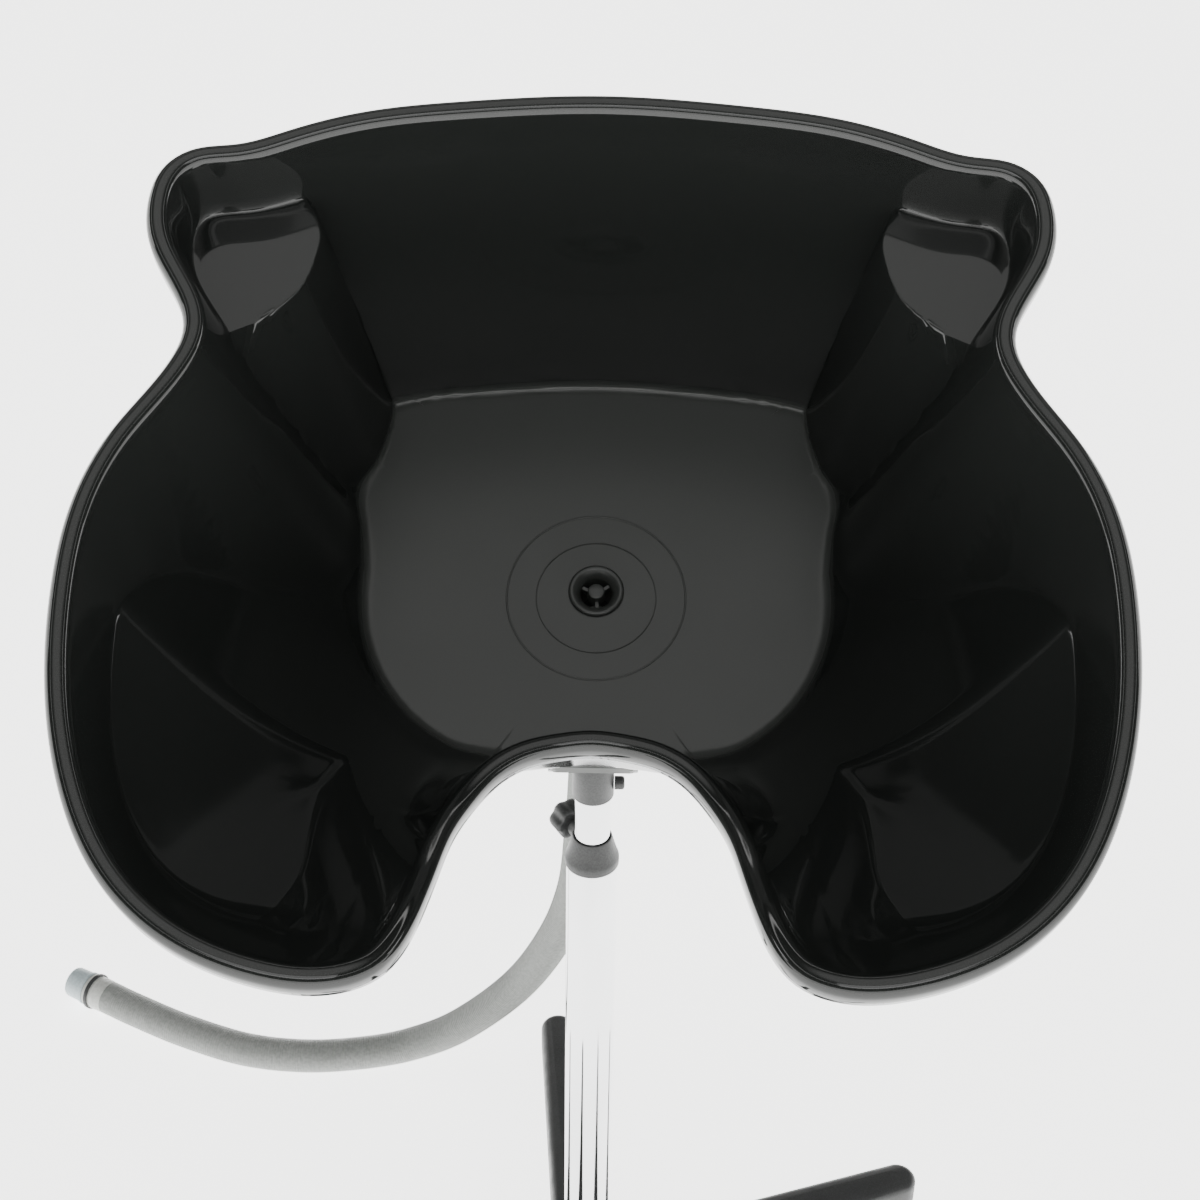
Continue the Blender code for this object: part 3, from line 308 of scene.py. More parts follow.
def softened(obj, width, segments=3, angle=30):
    """Rounds a piece's sharp edges."""
    edge = obj.modifiers.new("soft_edges", "BEVEL")
    edge.width, edge.segments, edge.limit_method = width, segments, "ANGLE"
    edge.angle_limit, edge.harden_normals = math.radians(angle), False
    return obj


def turned(name, profile, at, body, finish, replaced=(), steps=72, soft=0.0004):
    """A turned solid from a closed profile of (radius, height) points round its material."""
    points, faces = [], []
    count = len(profile)
    for k in range(steps):
        turn = k * math.tau / steps
        points += [at @ Vector((r * math.cos(turn), r * math.sin(turn), z)) for r, z in profile]
    for k in range(steps):
        a, b = k * count, (k + 1) % steps * count
        for j in range(count):
            if profile[j][0] < 1e-6 and profile[(j + 1) % count][0] < 1e-6:
                continue
            faces.append((a + j, b + j, b + (j + 1) % count, a + (j + 1) % count))
    mesh = mesh_from(name, points, faces)
    bm = bmesh.new()
    bm.from_mesh(mesh)
    bmesh.ops.remove_doubles(bm, verts=bm.verts, dist=1e-6)
    bmesh.ops.recalc_face_normals(bm, faces=bm.faces)
    bm.to_mesh(mesh)
    bm.free()
    obj = piece(name, mesh, body, finish, replaced)
    return softened(obj, soft) if soft else obj


def joined(bm, other):
    mesh = bpy.data.meshes.new("part")
    other.to_mesh(mesh)
    other.free()
    bm.from_mesh(mesh)
    bpy.data.meshes.remove(mesh)


def finished(name, bm):
    bmesh.ops.recalc_face_normals(bm, faces=bm.faces)
    mesh = bpy.data.meshes.new(name)
    bm.to_mesh(mesh)
    bm.free()
    return mesh


def cylinder(radius, low, high, at, segments=48):
    bm = bmesh.new()
    move = at @ Matrix.Translation((0, 0, (low + high) / 2))
    bmesh.ops.create_cone(
        bm, cap_ends=True, segments=segments, radius1=radius, radius2=radius, depth=high - low, matrix=move,
    )
    return bm


def rounded_disc(points, centre, radius, low, high, rounding, sides=56, steps=7):
    """Adds the points of an upright disc whose top edge is a quarter round."""
    for k in range(sides):
        turn = k * math.tau / sides
        way = Vector((math.cos(turn), math.sin(turn), 0))
        points.append(centre + way * (radius - 0.0008) + Vector((0, 0, low)))
        points.append(centre + way * radius + Vector((0, 0, low + 0.0008)))
        for j in range(steps + 1):
            bend = j / steps * math.pi / 2
            out = radius - rounding * (1 - math.cos(bend))
            points.append(centre + way * out + Vector((0, 0, high - rounding * (1 - math.sin(bend)))))


def hull_mesh(points):
    bm = bmesh.new()
    for point in points:
        bm.verts.new(point)
    bmesh.ops.convex_hull(bm, input=bm.verts)
    bmesh.ops.delete(bm, geom=[v for v in bm.verts if not v.link_faces], context="VERTS")
    return bm


# ---------------------------------------------------------------- hose


def across_frames(points):
    """Two directions at right angles to the line at each point, turning as little as they can."""
    run = np.gradient(points, axis=0)
    run /= np.linalg.norm(run, axis=1)[:, None]
    side = np.cross(run[0], (1.0, 0.2, 0.1))
    sides = []
    for way in run:
        side = side - way * np.dot(side, way)
        side = side / np.linalg.norm(side)
        sides.append(side)
    sides = np.array(sides)
    return sides, np.cross(run, sides)


def tube_mesh(name, points, radii, sides):
    """A closed tube along the points, with a radius at each."""
    one, other = across_frames(points)
    angles = np.arange(sides) * math.tau / sides
    cosines, sines = np.cos(angles)[None, :, None], np.sin(angles)[None, :, None]
    rings = points[:, None] + radii[:, None, None] * (cosines * one[:, None] + sines * other[:, None])
    faces = []
    for i in range(len(points) - 1):
        low, high = i * sides, (i + 1) * sides
        faces += [(low + k, low + (k + 1) % sides, high + (k + 1) % sides, high + k) for k in range(sides)]
    faces.append(tuple(reversed(range(sides))))
    last = (len(points) - 1) * sides
    faces.append(tuple(range(last, last + sides)))
    return mesh_from(name, rings.reshape(-1, 3), faces)


def hose_end():
    """The cuff, the fitting and the clip, turned round the hose's end."""
    end, before = Vector(HOSE_ROUTE[-1]), Vector(HOSE_ROUTE[-2])
    at = along(end - before, end)
    outside = []
    for k in range(25):
        share = k / 24
        swell = 0.0003 * (0.5 + 0.5 * math.cos(share * 5 * math.tau)) * (0.08 < share < 0.6)
        outside.append((0.0140 + swell, GAP + share * 0.0197))
    cuff_profile = [(0.0112, GAP), *outside, (0.0112, 0.0200)]
    fitting_profile = [
        (0.0105, 0.0203), (0.0142, 0.0203), (0.0144, 0.0208), (0.0144, 0.0229), (0.0140, 0.0235),
        (0.0135, 0.0237), (0.0134, 0.0300), (0.0132, 0.0375), (0.0126, 0.0391), (0.0112, 0.0393),
        (0.0105, 0.0385),
    ]
    clip_profile = [
        (0.0144, 0.0133), (0.0152, 0.0133), (0.0157, 0.0138), (0.0157, 0.0162), (0.0152, 0.0167),
        (0.0144, 0.0167),
    ]
    cuff = turned("soft_cuff", cuff_profile, at, "stand", CUFF, ["hose_cuff"], 72, 0.0002)
    fitting = turned(
        "end_fitting", fitting_profile, at, "stand", FITTING, ["hose_end_fitting"],
        72, 0.0002,
    )
    clip = turned("end_clip", clip_profile, at, "stand", SATIN, ["hose_end_clip"], 72, 0.0002)
    return [cuff, clip, fitting]


def hose_run(name, points, radii, with_pieces=()):
    """One run of the hose, a ribbed tube that rides on no body."""
    mesh = tube_mesh(name, points, radii, HOSE_SIDES)
    made = piece(name, mesh, None, HOSE, ["drain_hose"])
    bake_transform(made)


def hose():
    """The hose in two runs that meet in one ring."""
    route = smooth_route(HOSE_ROUTE, 24)
    _, length = at_lengths(route, [0])
    step = RIB_PITCH / RIB_RINGS
    lengths = np.linspace(0, length, round(length / step) + 1)
    points, _ = at_lengths(route, lengths)
    wave = (0.5 + 0.5 * np.cos(lengths / RIB_PITCH * math.tau)) ** 1.5
    from_top, from_end = (lengths - PLAIN_TOP) / PLAIN_FADE, (length - PLAIN_END - lengths) / PLAIN_FADE
    ribbed = np.clip(from_top, 0, 1) * np.clip(from_end, 0, 1)
    radii = HOSE_RADIUS - RIB_DEPTH * (1 - wave) * ribbed
    meet = round(HOSE_MEET / step)
    top, rest = slice(None, meet + 1), slice(meet, None)
    hose_run("ribbed_hose_top", points[top], radii[top])
    hose_run(
        "ribbed_hose", points[rest], radii[rest],
        hose_end(),
    )


hose()


# ---------------------------------------------------------------- basin

# The right half of the lip's outer edge, from the back to the neck notch, in mm and degrees:
# across, away, depth, the angle of the floor's edge below it, and how steep the wall under it is
# (mm down for 1 mm inwards), and where the lobe's dish starts below it, as a depth at the lip.
HALF_OUTLINE = (
    (0, 326, 0, 90, 6.6, 0),
    (75, 321, 0, 72, 6.6, 0),
    (127, 313, 0, 61, 6.6, 0),
    (166, 300, 0, 52.5, 7, 0),
    (190, 291.5, 0, 48, 8, 0),
    (212, 288, 0, 44, 8, 0),
    (227, 277, 0, 40, 8, 0),
    (233.5, 256, 0, 35, 8, 0),
    (230, 229, 0, 29, 8, 0),
    (216, 202, 0, 22, 7, 0),
    (208, 180, 0, 15, 4.5, 0),
    (215, 156, 0, 7, 3.8, 0),
    (236, 122.5, 0, -3, 4.5, 52),
    (251, 85, 0, -12, 7, 54),
    (256, 35, 0, -22, 9, 55),
    (252.5, -13, 0, -31, 8, 54),
    (241, -60, 0, -38, 6, 52),
    (218, -104, 0, -44, 3.6, 46),
    (184, -134, 0, -48.5, 2.4, 42),
    (145, -149, 0.5, -52.5, 2.0, 40),
    (112, -151, 2, -56, 1.7, 0),
    (92, -142, 8, -59, 1.35, 0),
    (81, -125, 18, -62, 1.1, 0),
    (75, -104, 32, -65, 0.98, 0),
    (71, -84, 47, -68, 1.0, 0),
    (66, -62, 62, -71, 1.4, 0),
    (57, -41, 77, -75, 2.3, 0),
    (45, -24, 86, -79, 3.2, 0),
    (31, -14, 91, -83, 4.2, 0),
    (15, -9, 94, -87, 4.6, 0),
    (0, -7, 95, -90, 4.8, 0),
)
OUTLINE_GAP = 4.0  # mm between points of the lip's curve
LIP_WIDTH = 12.0
FLOOR_DEPTH, DRAIN_DEPTH = 228.0, 231.0
FLOOR_HAZE_AND_SHEEN = 0.24  # roughness added on the floor, and the share there of a painted sheen: a lighter grey standing in for the ceiling's reflection
# painted sheen: a lighter grey for the floor, standing in for its reflection of the bright ceiling
PAINTED_SHEEN_COLOUR = (0.125, 0.134, 0.125, 1)
HAZE_AND_SHEEN_FROM, HAZE_AND_SHEEN_TO = 0.002, 0.006  # metres above the floor, where the haze and the painted sheen fade out
FLOOR_CENTRE, FLOOR_ACROSS, FLOOR_AWAY = 155.0, 140.0, 125.0
FLOOR_POWER_BACK, FLOOR_POWER_FRONT = 4.0, 2.7
DRAIN_AWAY, DRAIN_HOLE, DRAIN_FLAT = 141.0, 13.5, 24.0
DISH_SLOPE, WELL_SLOPE = 0.84, 1.5
LEDGE_DEPTH, LEDGE_DROP = 40.0, 9.0
LEDGE_EDGE = ((182, 312), (161, 285), (152, 272), (149, 256), (155, 231), (165, 217), (178, 206), (205, 188))
FLOOR_BLEND, SIDE_BLEND, RIDGE_BLEND = 22.0, 14.0, 7.0  # how far fillets reach, in mm of depth
VALLEY_BLEND, LEDGE_BLEND, LEDGE_ROUND = 5.0, 16.0, 5.0
SIDE_BLEND_FROM = 30.0  # mm from the rim to where the side's fillet is whole
WELL_FROM, WELL_FADE = 36.0, 12.0  # degrees: the well's wall fades out from one side of this turn
DRAIN_FALL_FROM = 150.0  # mm from the drain to where the floor begins to fall
FINE_ROWS, SHELL_ROWS, FLOOR_ROWS = 260, 120, 60
BATCH = 4000  # points measured at a time


def closed_spline(points, longest):
    """Points on a smooth closed curve through the given ones, no further apart than about longest."""
    p = np.array(points, float)
    n = len(p)
    h = np.linalg.norm(np.roll(p, -1, 0)[:, :2] - p[:, :2], axis=1)
    slope = (np.roll(p, -1, 0) - p) / h[:, None]
    system = np.zeros((n, n))
    for i in range(n):
        system[i, i - 1] += h[i - 1]
        system[i, i] += 2 * (h[i - 1] + h[i])
        system[i, (i + 1) % n] += h[i]
    bend = np.linalg.solve(system, 6 * (slope - np.roll(slope, 1, 0)))
    found = []
    for i in range(n):
        j, steps = (i + 1) % n, max(1, round(h[i] / longest))
        for t in np.arange(steps) / steps:
            cubic_a, cubic_b = (1 - t) ** 3 - (1 - t), t**3 - t
            straight = (1 - t) * p[i] + t * p[j]
            found.append(straight + h[i] ** 2 / 6 * (cubic_a * bend[i] + cubic_b * bend[j]))
    return np.array(found)


def outline():
    """The lip's outer edge, in mm: across, away, depth, the floor angle's cosine and sine, slope, dish."""
    x, y, depth, angle, slope, dish = np.array(HALF_OUTLINE, float).T
    turn = np.radians(angle)
    half = np.stack([x, y, depth, np.cos(turn), np.sin(turn), slope, dish], axis=1)
    left = half[-2:0:-1] * (-1, 1, 1, -1, 1, 1, 1)
    return closed_spline(np.concatenate([half, left]), OUTLINE_GAP)


def floor_edge(c, s):
    """The (across, away) points of the floor's rounded square, from an angle's cosine and sine."""
    c, s = c / np.hypot(c, s), s / np.hypot(c, s)
    power = 2 / np.where(s > 0, FLOOR_POWER_BACK, FLOOR_POWER_FRONT)
    across = FLOOR_ACROSS * np.copysign(np.abs(c) ** power, c)
    return np.stack([across, FLOOR_CENTRE + FLOOR_AWAY * np.copysign(np.abs(s) ** power, s)], axis=-1)


def lower(a, b, blend):
    """The smaller of two depths, with a fillet where they meet."""
    near = np.maximum(blend - np.abs(a - b), 0) / blend
    return np.minimum(a, b) - near * near * blend / 4


def cones(points, line, base, slope):
    """The lowest of the cones that stand on an open line: base plus slope times the distance from it."""
    starts, base_a, slope_a = line[:-1], base[:-1], slope[:-1]
    run, base_b, slope_b = line[1:] - starts, base[1:], slope[1:]
    square = (run * run).sum(1)
    found = np.empty(len(points))
    for k in range(0, len(points), BATCH):
        away = points[k:k + BATCH, None] - starts
        t = np.clip((away * run).sum(2) / square, 0, 1)
        gap = np.linalg.norm(away - t[..., None] * run, axis=2)
        depth = base_a + t * (base_b - base_a) + gap * (slope_a + t * (slope_b - slope_a))
        found[k:k + BATCH] = depth.min(1)
    return found


def ledge_depth(points):
    """A flat ledge outside the ledge's edge, and a steep drop inside it."""
    p = np.stack([np.abs(points[:, 0]), points[:, 1]], axis=1)
    edge = ledge_edge()
    run = edge[1:] - edge[:-1]
    away = p[:, None] - edge[:-1]
    t = np.clip((away * run).sum(2) / (run * run).sum(1), 0, 1)
    off = away - t[..., None] * run
    gap = np.linalg.norm(off, axis=2)
    nearest = gap.argmin(1)
    rows = np.arange(len(p))
    side = run[nearest, 0] * off[rows, nearest, 1] - run[nearest, 1] * off[rows, nearest, 0]
    inside = np.where(side < 0, gap[rows, nearest], -gap[rows, nearest])
    return -lower(-(LEDGE_DEPTH + LEDGE_DROP * inside), np.full(len(p), -LEDGE_DEPTH), LEDGE_ROUND)


def ledge_edge():
    """The ledge's edge as a smooth line."""
    route = smooth_route([(x, y, 0) for x, y in LEDGE_EDGE], 8)
    return np.array([(q.x, q.y) for q in route])


def in_one_run(chosen, beyond):
    """The places of the chosen points of a closed line in order, and of some more beyond each end."""
    order = np.nonzero(chosen)[0]
    jumps = np.nonzero(np.diff(order) > 1)[0]
    first = order[jumps[0] + 1] if len(jumps) else order[0]
    return (first + np.arange(-beyond, len(order) + beyond)) % len(chosen)


def inner_depth(points, inward, rim, edge):
    """How deep the basin's inside is at each (across, away) point that far inward of the rim, in mm."""
    crest, slope = edge[:, 2] + LIP_WIDTH / 2, edge[:, 5]
    wall, slide, dish = (np.full(len(points), 1e3) for _ in range(3))
    flank = (edge[:, 1] < -50) & (np.abs(edge[:, 0]) < 118)
    for side in (1, -1):
        here = points[:, 0] * side >= 0
        half, sites = edge[:, 0] * side >= -1, points[here]
        notch = ~flank & (edge[:, 1] < 60) & (np.abs(edge[:, 0]) < 100)
        for depth, on, base, fall, beyond in (
            (wall, half & ~flank & ~notch, crest, slope, 1),
            (wall, half & notch, crest, slope, 1),
            (slide, half & flank, crest, slope, 1),
            (dish, half & (edge[:, 6] > 35), edge[:, 6], np.full(len(edge), DISH_SLOPE), 0),
        ):
            order = in_one_run(on, beyond)
            found = cones(sites, rim[order], base[order], fall[order])
            depth[here] = np.minimum(depth[here], found)
    turn = np.arctan2(points[:, 1] - FLOOR_CENTRE, np.abs(points[:, 0]))
    foot = floor_edge(np.cos(turn), np.sin(turn))
    middle = np.array((0, FLOOR_CENTRE))
    out = np.linalg.norm(points - middle, axis=1) - np.linalg.norm(foot - middle, axis=1)
    fade = np.clip((WELL_FROM - np.degrees(turn)) / WELL_FADE, 0, 1)
    fade = fade * fade * (3 - 2 * fade)
    well = FLOOR_DEPTH - np.where(out > 0, WELL_SLOPE * fade, 3) * out + 40 * (1 - fade)
    cavity = -lower(-lower(dish, slide, VALLEY_BLEND), -well, RIDGE_BLEND)
    depth = lower(wall, ledge_depth(points), LEDGE_BLEND)
    depth = lower(depth, cavity, SIDE_BLEND * np.clip(inward / SIDE_BLEND_FROM, 0.02, 1))
    drain_gap = np.linalg.norm(points - (0, DRAIN_AWAY), axis=1)
    share = np.clip((DRAIN_FALL_FROM - drain_gap) / (DRAIN_FALL_FROM - DRAIN_FLAT), 0, 1)
    return lower(depth, FLOOR_DEPTH + (DRAIN_DEPTH - FLOOR_DEPTH) * share, FLOOR_BLEND)


def spaced(path, rows):
    """The path's points again, nearer together where it turns."""
    step = np.diff(path, axis=0)
    size = np.linalg.norm(step, axis=1)
    way = step / np.maximum(size, 1e-9)[:, None]
    bend = np.concatenate([[0], np.arccos(np.clip((way[1:] * way[:-1]).sum(1), -1, 1)), [0]])
    weight = size + 10 * (bend[1:] + bend[:-1]) / 2
    run = np.concatenate([[0], np.cumsum(weight)])
    at = np.linspace(0, run[-1], rows)
    return np.stack([np.interp(at, run, path[:, k]) for k in range(path.shape[1])], axis=1)


def shell_columns():
    """The inner surface, as columns of (across, away, depth) points in mm from the flange to the drain."""
    edge = outline()
    ahead, behind = np.roll(edge, -1, 0)[:, :2], np.roll(edge, 1, 0)[:, :2]
    run = (ahead - behind) / np.linalg.norm(ahead - behind, axis=1)[:, None]
    outward = np.stack([-run[:, 1], run[:, 0]], axis=1)
    rim = edge[:, :2] - outward * LIP_WIDTH
    foot = floor_edge(edge[:, 3], edge[:, 4])
    drain = np.array((0, DRAIN_AWAY))
    to_foot = (foot - drain) / np.linalg.norm(foot - drain, axis=1)[:, None]
    hole = drain + to_foot * DRAIN_HOLE
    t = np.linspace(0, 1, FINE_ROWS) ** 1.8
    u = np.linspace(0, 1, FLOOR_ROWS)[1:]
    plan = np.concatenate([
        rim[:, None] + (foot - rim)[:, None] * t[None, :, None],
        foot[:, None] + (hole - foot)[:, None] * u[None, :, None],
    ], axis=1)
    inward = np.linalg.norm(plan - rim[:, None], axis=2)
    depth = inner_depth(plan.reshape(-1, 2), inward.reshape(-1), rim, edge).reshape(plan.shape[:2])
    depth[:, 0] = edge[:, 2] + LIP_WIDTH / 2
    columns = []
    turn = np.linspace(0, math.pi, 13)[1:-1]
    r = LIP_WIDTH / 2
    for k, point in enumerate(edge):
        lip = [(0, 1000 * FLANGE_DEPTH), (0, 10), *((r - r * math.cos(a), r - r * math.sin(a)) for a in turn)]
        lip = [(*(point[:2] - outward[k] * inward), point[2] + down) for inward, down in lip]
        wall = np.column_stack([plan[k], depth[k]])
        columns.append(lip + list(spaced(wall, SHELL_ROWS)))
    return columns


def basin():
    columns = shell_columns()
    rows = len(columns[0])
    points = [basin_point(*(q / 1000 for q in p)) for column in columns for p in column]
    faces = []
    for i in range(len(columns)):
        a, b = i * rows, (i + 1) % len(columns) * rows
        faces += [(a + k, a + k + 1, b + k + 1, b + k) for k in range(rows - 1)]
    mesh = mesh_from("basin", points, faces)
    bm = bmesh.new()
    bm.from_mesh(mesh)
    floor = max(bm.faces, key=lambda face: -face.calc_center_median().z)
    if floor.normal.z < 0:
        bmesh.ops.reverse_faces(bm, faces=bm.faces)
    bm.to_mesh(mesh)
    bm.free()
    obj = piece("basin", mesh, "basin", GLOSS, ["basin_shell"])
    skin = obj.modifiers.new("wall", "SOLIDIFY")
    skin.thickness, skin.offset, skin.use_even_offset = WALL, -1, False
    return obj


def haze_and_sheen_floor(made):
    """The basin's floor has a fine moulded haze, so it mirrors less sharply than the walls do, and a painted
    sheen: a lighter grey that stands in for its reflection of the ceiling.
    """
    tree = made.node_tree
    rough = tree.nodes["Principled BSDF"].inputs["Roughness"]
    upward = BASIN.to_3x3() @ Vector((0, 0, 1))
    level = upward.dot(basin_point(0, FLOOR_CENTRE / 1000, FLOOR_DEPTH / 1000))
    place, along_it = tree.nodes.new("ShaderNodeTexCoord"), tree.nodes.new("ShaderNodeVectorMath")
    along_it.operation = "DOT_PRODUCT"
    along_it.inputs[1].default_value = upward
    tree.links.new(place.outputs["Object"], along_it.inputs[0])
    share, total = tree.nodes.new("ShaderNodeMapRange"), tree.nodes.new("ShaderNodeMath")
    values = (level + HAZE_AND_SHEEN_FROM, level + HAZE_AND_SHEEN_TO, FLOOR_HAZE_AND_SHEEN, 0)
    for name, value in zip(("From Min", "From Max", "To Min", "To Max"), values):
        share.inputs[name].default_value = value
    tree.links.new(along_it.outputs["Value"], share.inputs["Value"])
    tree.links.new(rough.links[0].from_socket, total.inputs[0])
    tree.links.new(share.outputs["Result"], total.inputs[1])
    tree.links.new(total.outputs["Value"], rough)
    # painted sheen: the floor's base colour is mixed towards the lighter grey that stands in for reflected
    # ceiling light
    colour, sheen_mix = tree.nodes["Principled BSDF"].inputs["Base Color"], tree.nodes.new("ShaderNodeMix")
    sheen_mix.data_type = "RGBA"
    tree.links.new(share.outputs["Result"], sheen_mix.inputs["Factor"])
    tree.links.new(colour.links[0].from_socket, sheen_mix.inputs["A"])
    sheen_mix.inputs["B"].default_value = PAINTED_SHEEN_COLOUR
    tree.links.new(sheen_mix.outputs["Result"], colour)


haze_and_sheen_floor(GLOSS)
basin()


# ---------------------------------------------------------------- base

ARM_TURNS = [math.radians(96 + 72 * k) for k in range(5)]
FOOT_OUT = 0.265  # from the post's axis to a foot's


def base():
    bm = cylinder(0.033, 0.005, 0.068, Matrix.Identity(4), 96)
    for turn in ARM_TURNS:
        way = Vector((math.cos(turn), math.sin(turn), 0))
        points = []
        rounded_disc(points, way * FOOT_OUT, 0.014, 0.0083, 0.034, 0.006)
        rounded_disc(points, way * 0.013, 0.021, 0.012, 0.056, 0.006)
        joined(bm, hull_mesh(points))
        rib = way.cross(Vector((0, 0, 1)))
        points = []
        for side in (-1, 1):
            for out, height in ((0.034, 0.0525), (0.250, 0.0361)):
                at = way * out + rib * side * 0.0016
                points += [at + Vector((0, 0, height)), at + Vector((0, 0, height - 0.004))]
        joined(bm, hull_mesh(points))
    star = piece("base_arms", finished("base_arms", bm), "stand", SATIN, ["base_star"])
    softened(star, 0.0006, 2, 40)
    for k, turn in enumerate(ARM_TURNS):
        at = Matrix.Translation((FOOT_OUT * math.cos(turn), FOOT_OUT * math.sin(turn), 0))
        profile = [(0, 0), (0.0108, 0), (0.0125, 0.0012), (0.0125, 0.0030), (0.0118, 0.0036)]
        profile += [(0.0125, 0.0042), (0.0122, 0.0058), (0.0100, 0.0080), (0, 0.0080)]
        name, node = f"rubber_foot_{k + 1}", f"foot_glide_{k + 1}"
        turned(name, profile, at, "stand", RUBBER, [node], 48, 0.0002)
    at = Matrix.Identity(4)
    profile = [(0.0163, 0.0683), (0.0330, 0.0683), (0.0330, 0.0715), (0.0322, 0.0725), (0.0290, 0.0745)]
    profile += [(0.0240, 0.0790), (0.0205, 0.0845), (0.0184, 0.0890), (0.0176, 0.0903), (0.0163, 0.0903)]
    turned("hub_collar", profile, at, "stand", SATIN, ["hub_cover"], 96)


# ---------------------------------------------------------------- post


def post():
    at = Matrix.Identity(4)
    profile = [(0.0145, 0.0143), (0.0160, 0.0143), (0.0160, 0.4465), (0.0145, 0.4465)]
    turned("outer_chrome_tube", profile, at, "stand", CHROME, ["outer_tube"], 128, 0.0003)
    profile = [(0.0098, 0.036), (0.0110, 0.036), (0.0110, 0.5245), (0.0098, 0.5245)]
    turned("inner_chrome_tube", profile, at, "post", CHROME, ["inner_tube"], 112, 0.0003)
    profile = [(0.0113, 0.4645), (0.0120, 0.4645), (0.01225, 0.4640), (0.0129, 0.4615), (0.0146, 0.4555)]
    profile += [(0.0160, 0.4505), (0.0167, 0.4490), (0.0169, 0.4480), (0.0169, 0.4436), (0.0166, 0.4430)]
    profile += [(0.0163, 0.4430), (0.0163, 0.4468), (0.0113, 0.4468)]
    turned("post_collar", profile, at, "stand", SATIN, ["height_collar"], 96, 0.0002)
    way = Vector((math.cos(math.radians(122)), math.sin(math.radians(122)), 0))
    across = along(way, (0, 0, 0.4575))
    profile = [(0.0033, 0.0125), (0.0072, 0.0125), (0.0066, 0.0160), (0.0064, 0.0192), (0.0033, 0.0192)]
    turned("collar_boss", profile, across, "stand", SATIN, (), 48, 0.0003)
    knob("height_hand_knob", 0.012, 0.0215, 0.0345, 6, across, "height_knob", "height_knob")


def knob(name, radius, low, high, lobes, at, body, node):
    """A moulded hand knob with soft lobes, a dished face and a raised hub."""
    sides, points, faces = lobes * 16, [], []
    length = high - low
    rows = [(0.40, 0, 0.0), (0.80, 0, 0.6), (0.93, 0.05, 1), (1.0, 0.16, 1), (1.0, 0.62, 1), (0.98, 0.80, 1)]
    rows += [(0.93, 0.93, 0.95), (0.86, 0.985, 0.8), (0.78, 1.0, 0.5), (0.66, 0.97, 0.1), (0.52, 0.93, 0)]
    rows += [(0.47, 0.93, 0), (0.43, 0.985, 0), (0.38, 1.0, 0), (0.20, 1.0, 0), (0.03, 1.0, 0)]
    for share, up, lobe in rows:
        for k in range(sides):
            turn = k * math.tau / sides
            dent = (0.5 - 0.5 * math.cos(lobes * turn)) ** 1.5
            r = radius * share * (1 - 0.15 * lobe * dent)
            points.append(at @ Vector((r * math.cos(turn), r * math.sin(turn), low + length * up)))
    for j in range(len(rows) - 1):
        for k in range(sides):
            a, b = j * sides, (j + 1) * sides
            faces.append((a + k, a + (k + 1) % sides, b + (k + 1) % sides, b + k))
    faces.append(tuple(reversed(range(sides))))
    faces.append(tuple(range((len(rows) - 1) * sides, len(rows) * sides)))
    piece(name, mesh_from(name, points, faces), body, SATIN, [node])


# ---------------------------------------------------------------- tilt clamp


def tilt_clamp():
    at = Matrix.Identity(4)
    profile = [(0.0113, 0.4970), (0.0125, 0.4970), (0.0127, 0.4974), (0.0127, 0.5315), (0.0121, 0.5325)]
    profile += [(0.0108, 0.5335), (0.0108, 0.5345), (0.0, 0.5345), (0.0, 0.5248), (0.0113, 0.5248)]
    turned("socket_sleeve", profile, at, "post", SATIN, ["tilt_socket"], 80, 0.0002)
    across = along((1, 0, 0), HINGE)
    bm = cylinder(0.0125, -0.011, 0.011, across, 72)
    joined(bm, cylinder(0.0108, -0.0225, -0.004, Matrix.Translation(HINGE), 64))
    knuckle = piece("hinge_knuckle", finished("hinge_knuckle", bm), "post", SATIN, ())
    softened(knuckle, 0.0005, 2)
    screw_at = along((1, 0, 0), (0, 0, 0.5055))
    profile = [(0, 0.0130), (0.0042, 0.0130), (0.0042, 0.0178), (0.0036, 0.0188), (0.0022, 0.0192)]
    profile += [(0.0020, 0.0180), (0, 0.0180)]
    turned("socket_set_screw", profile, screw_at, "post", SATIN, ["socket_screw"], 32, 0.0002)
    knob("tilt_hand_knob", 0.017, 0.0164, 0.0344, 5, across, "tilt_knob", "tilt_knob")
    for name in ("tilt_bracket", "hose_clamp_screw", "tilt_bolt", "drain_nut", "bracket_screw_1",
                 "bracket_screw_2", "bracket_screw_3", "bracket_screw_4"):
        softened(frame["nodes"][name], 0.0004, 2, 35)


# ---------------------------------------------------------------- drain and the hose's ends


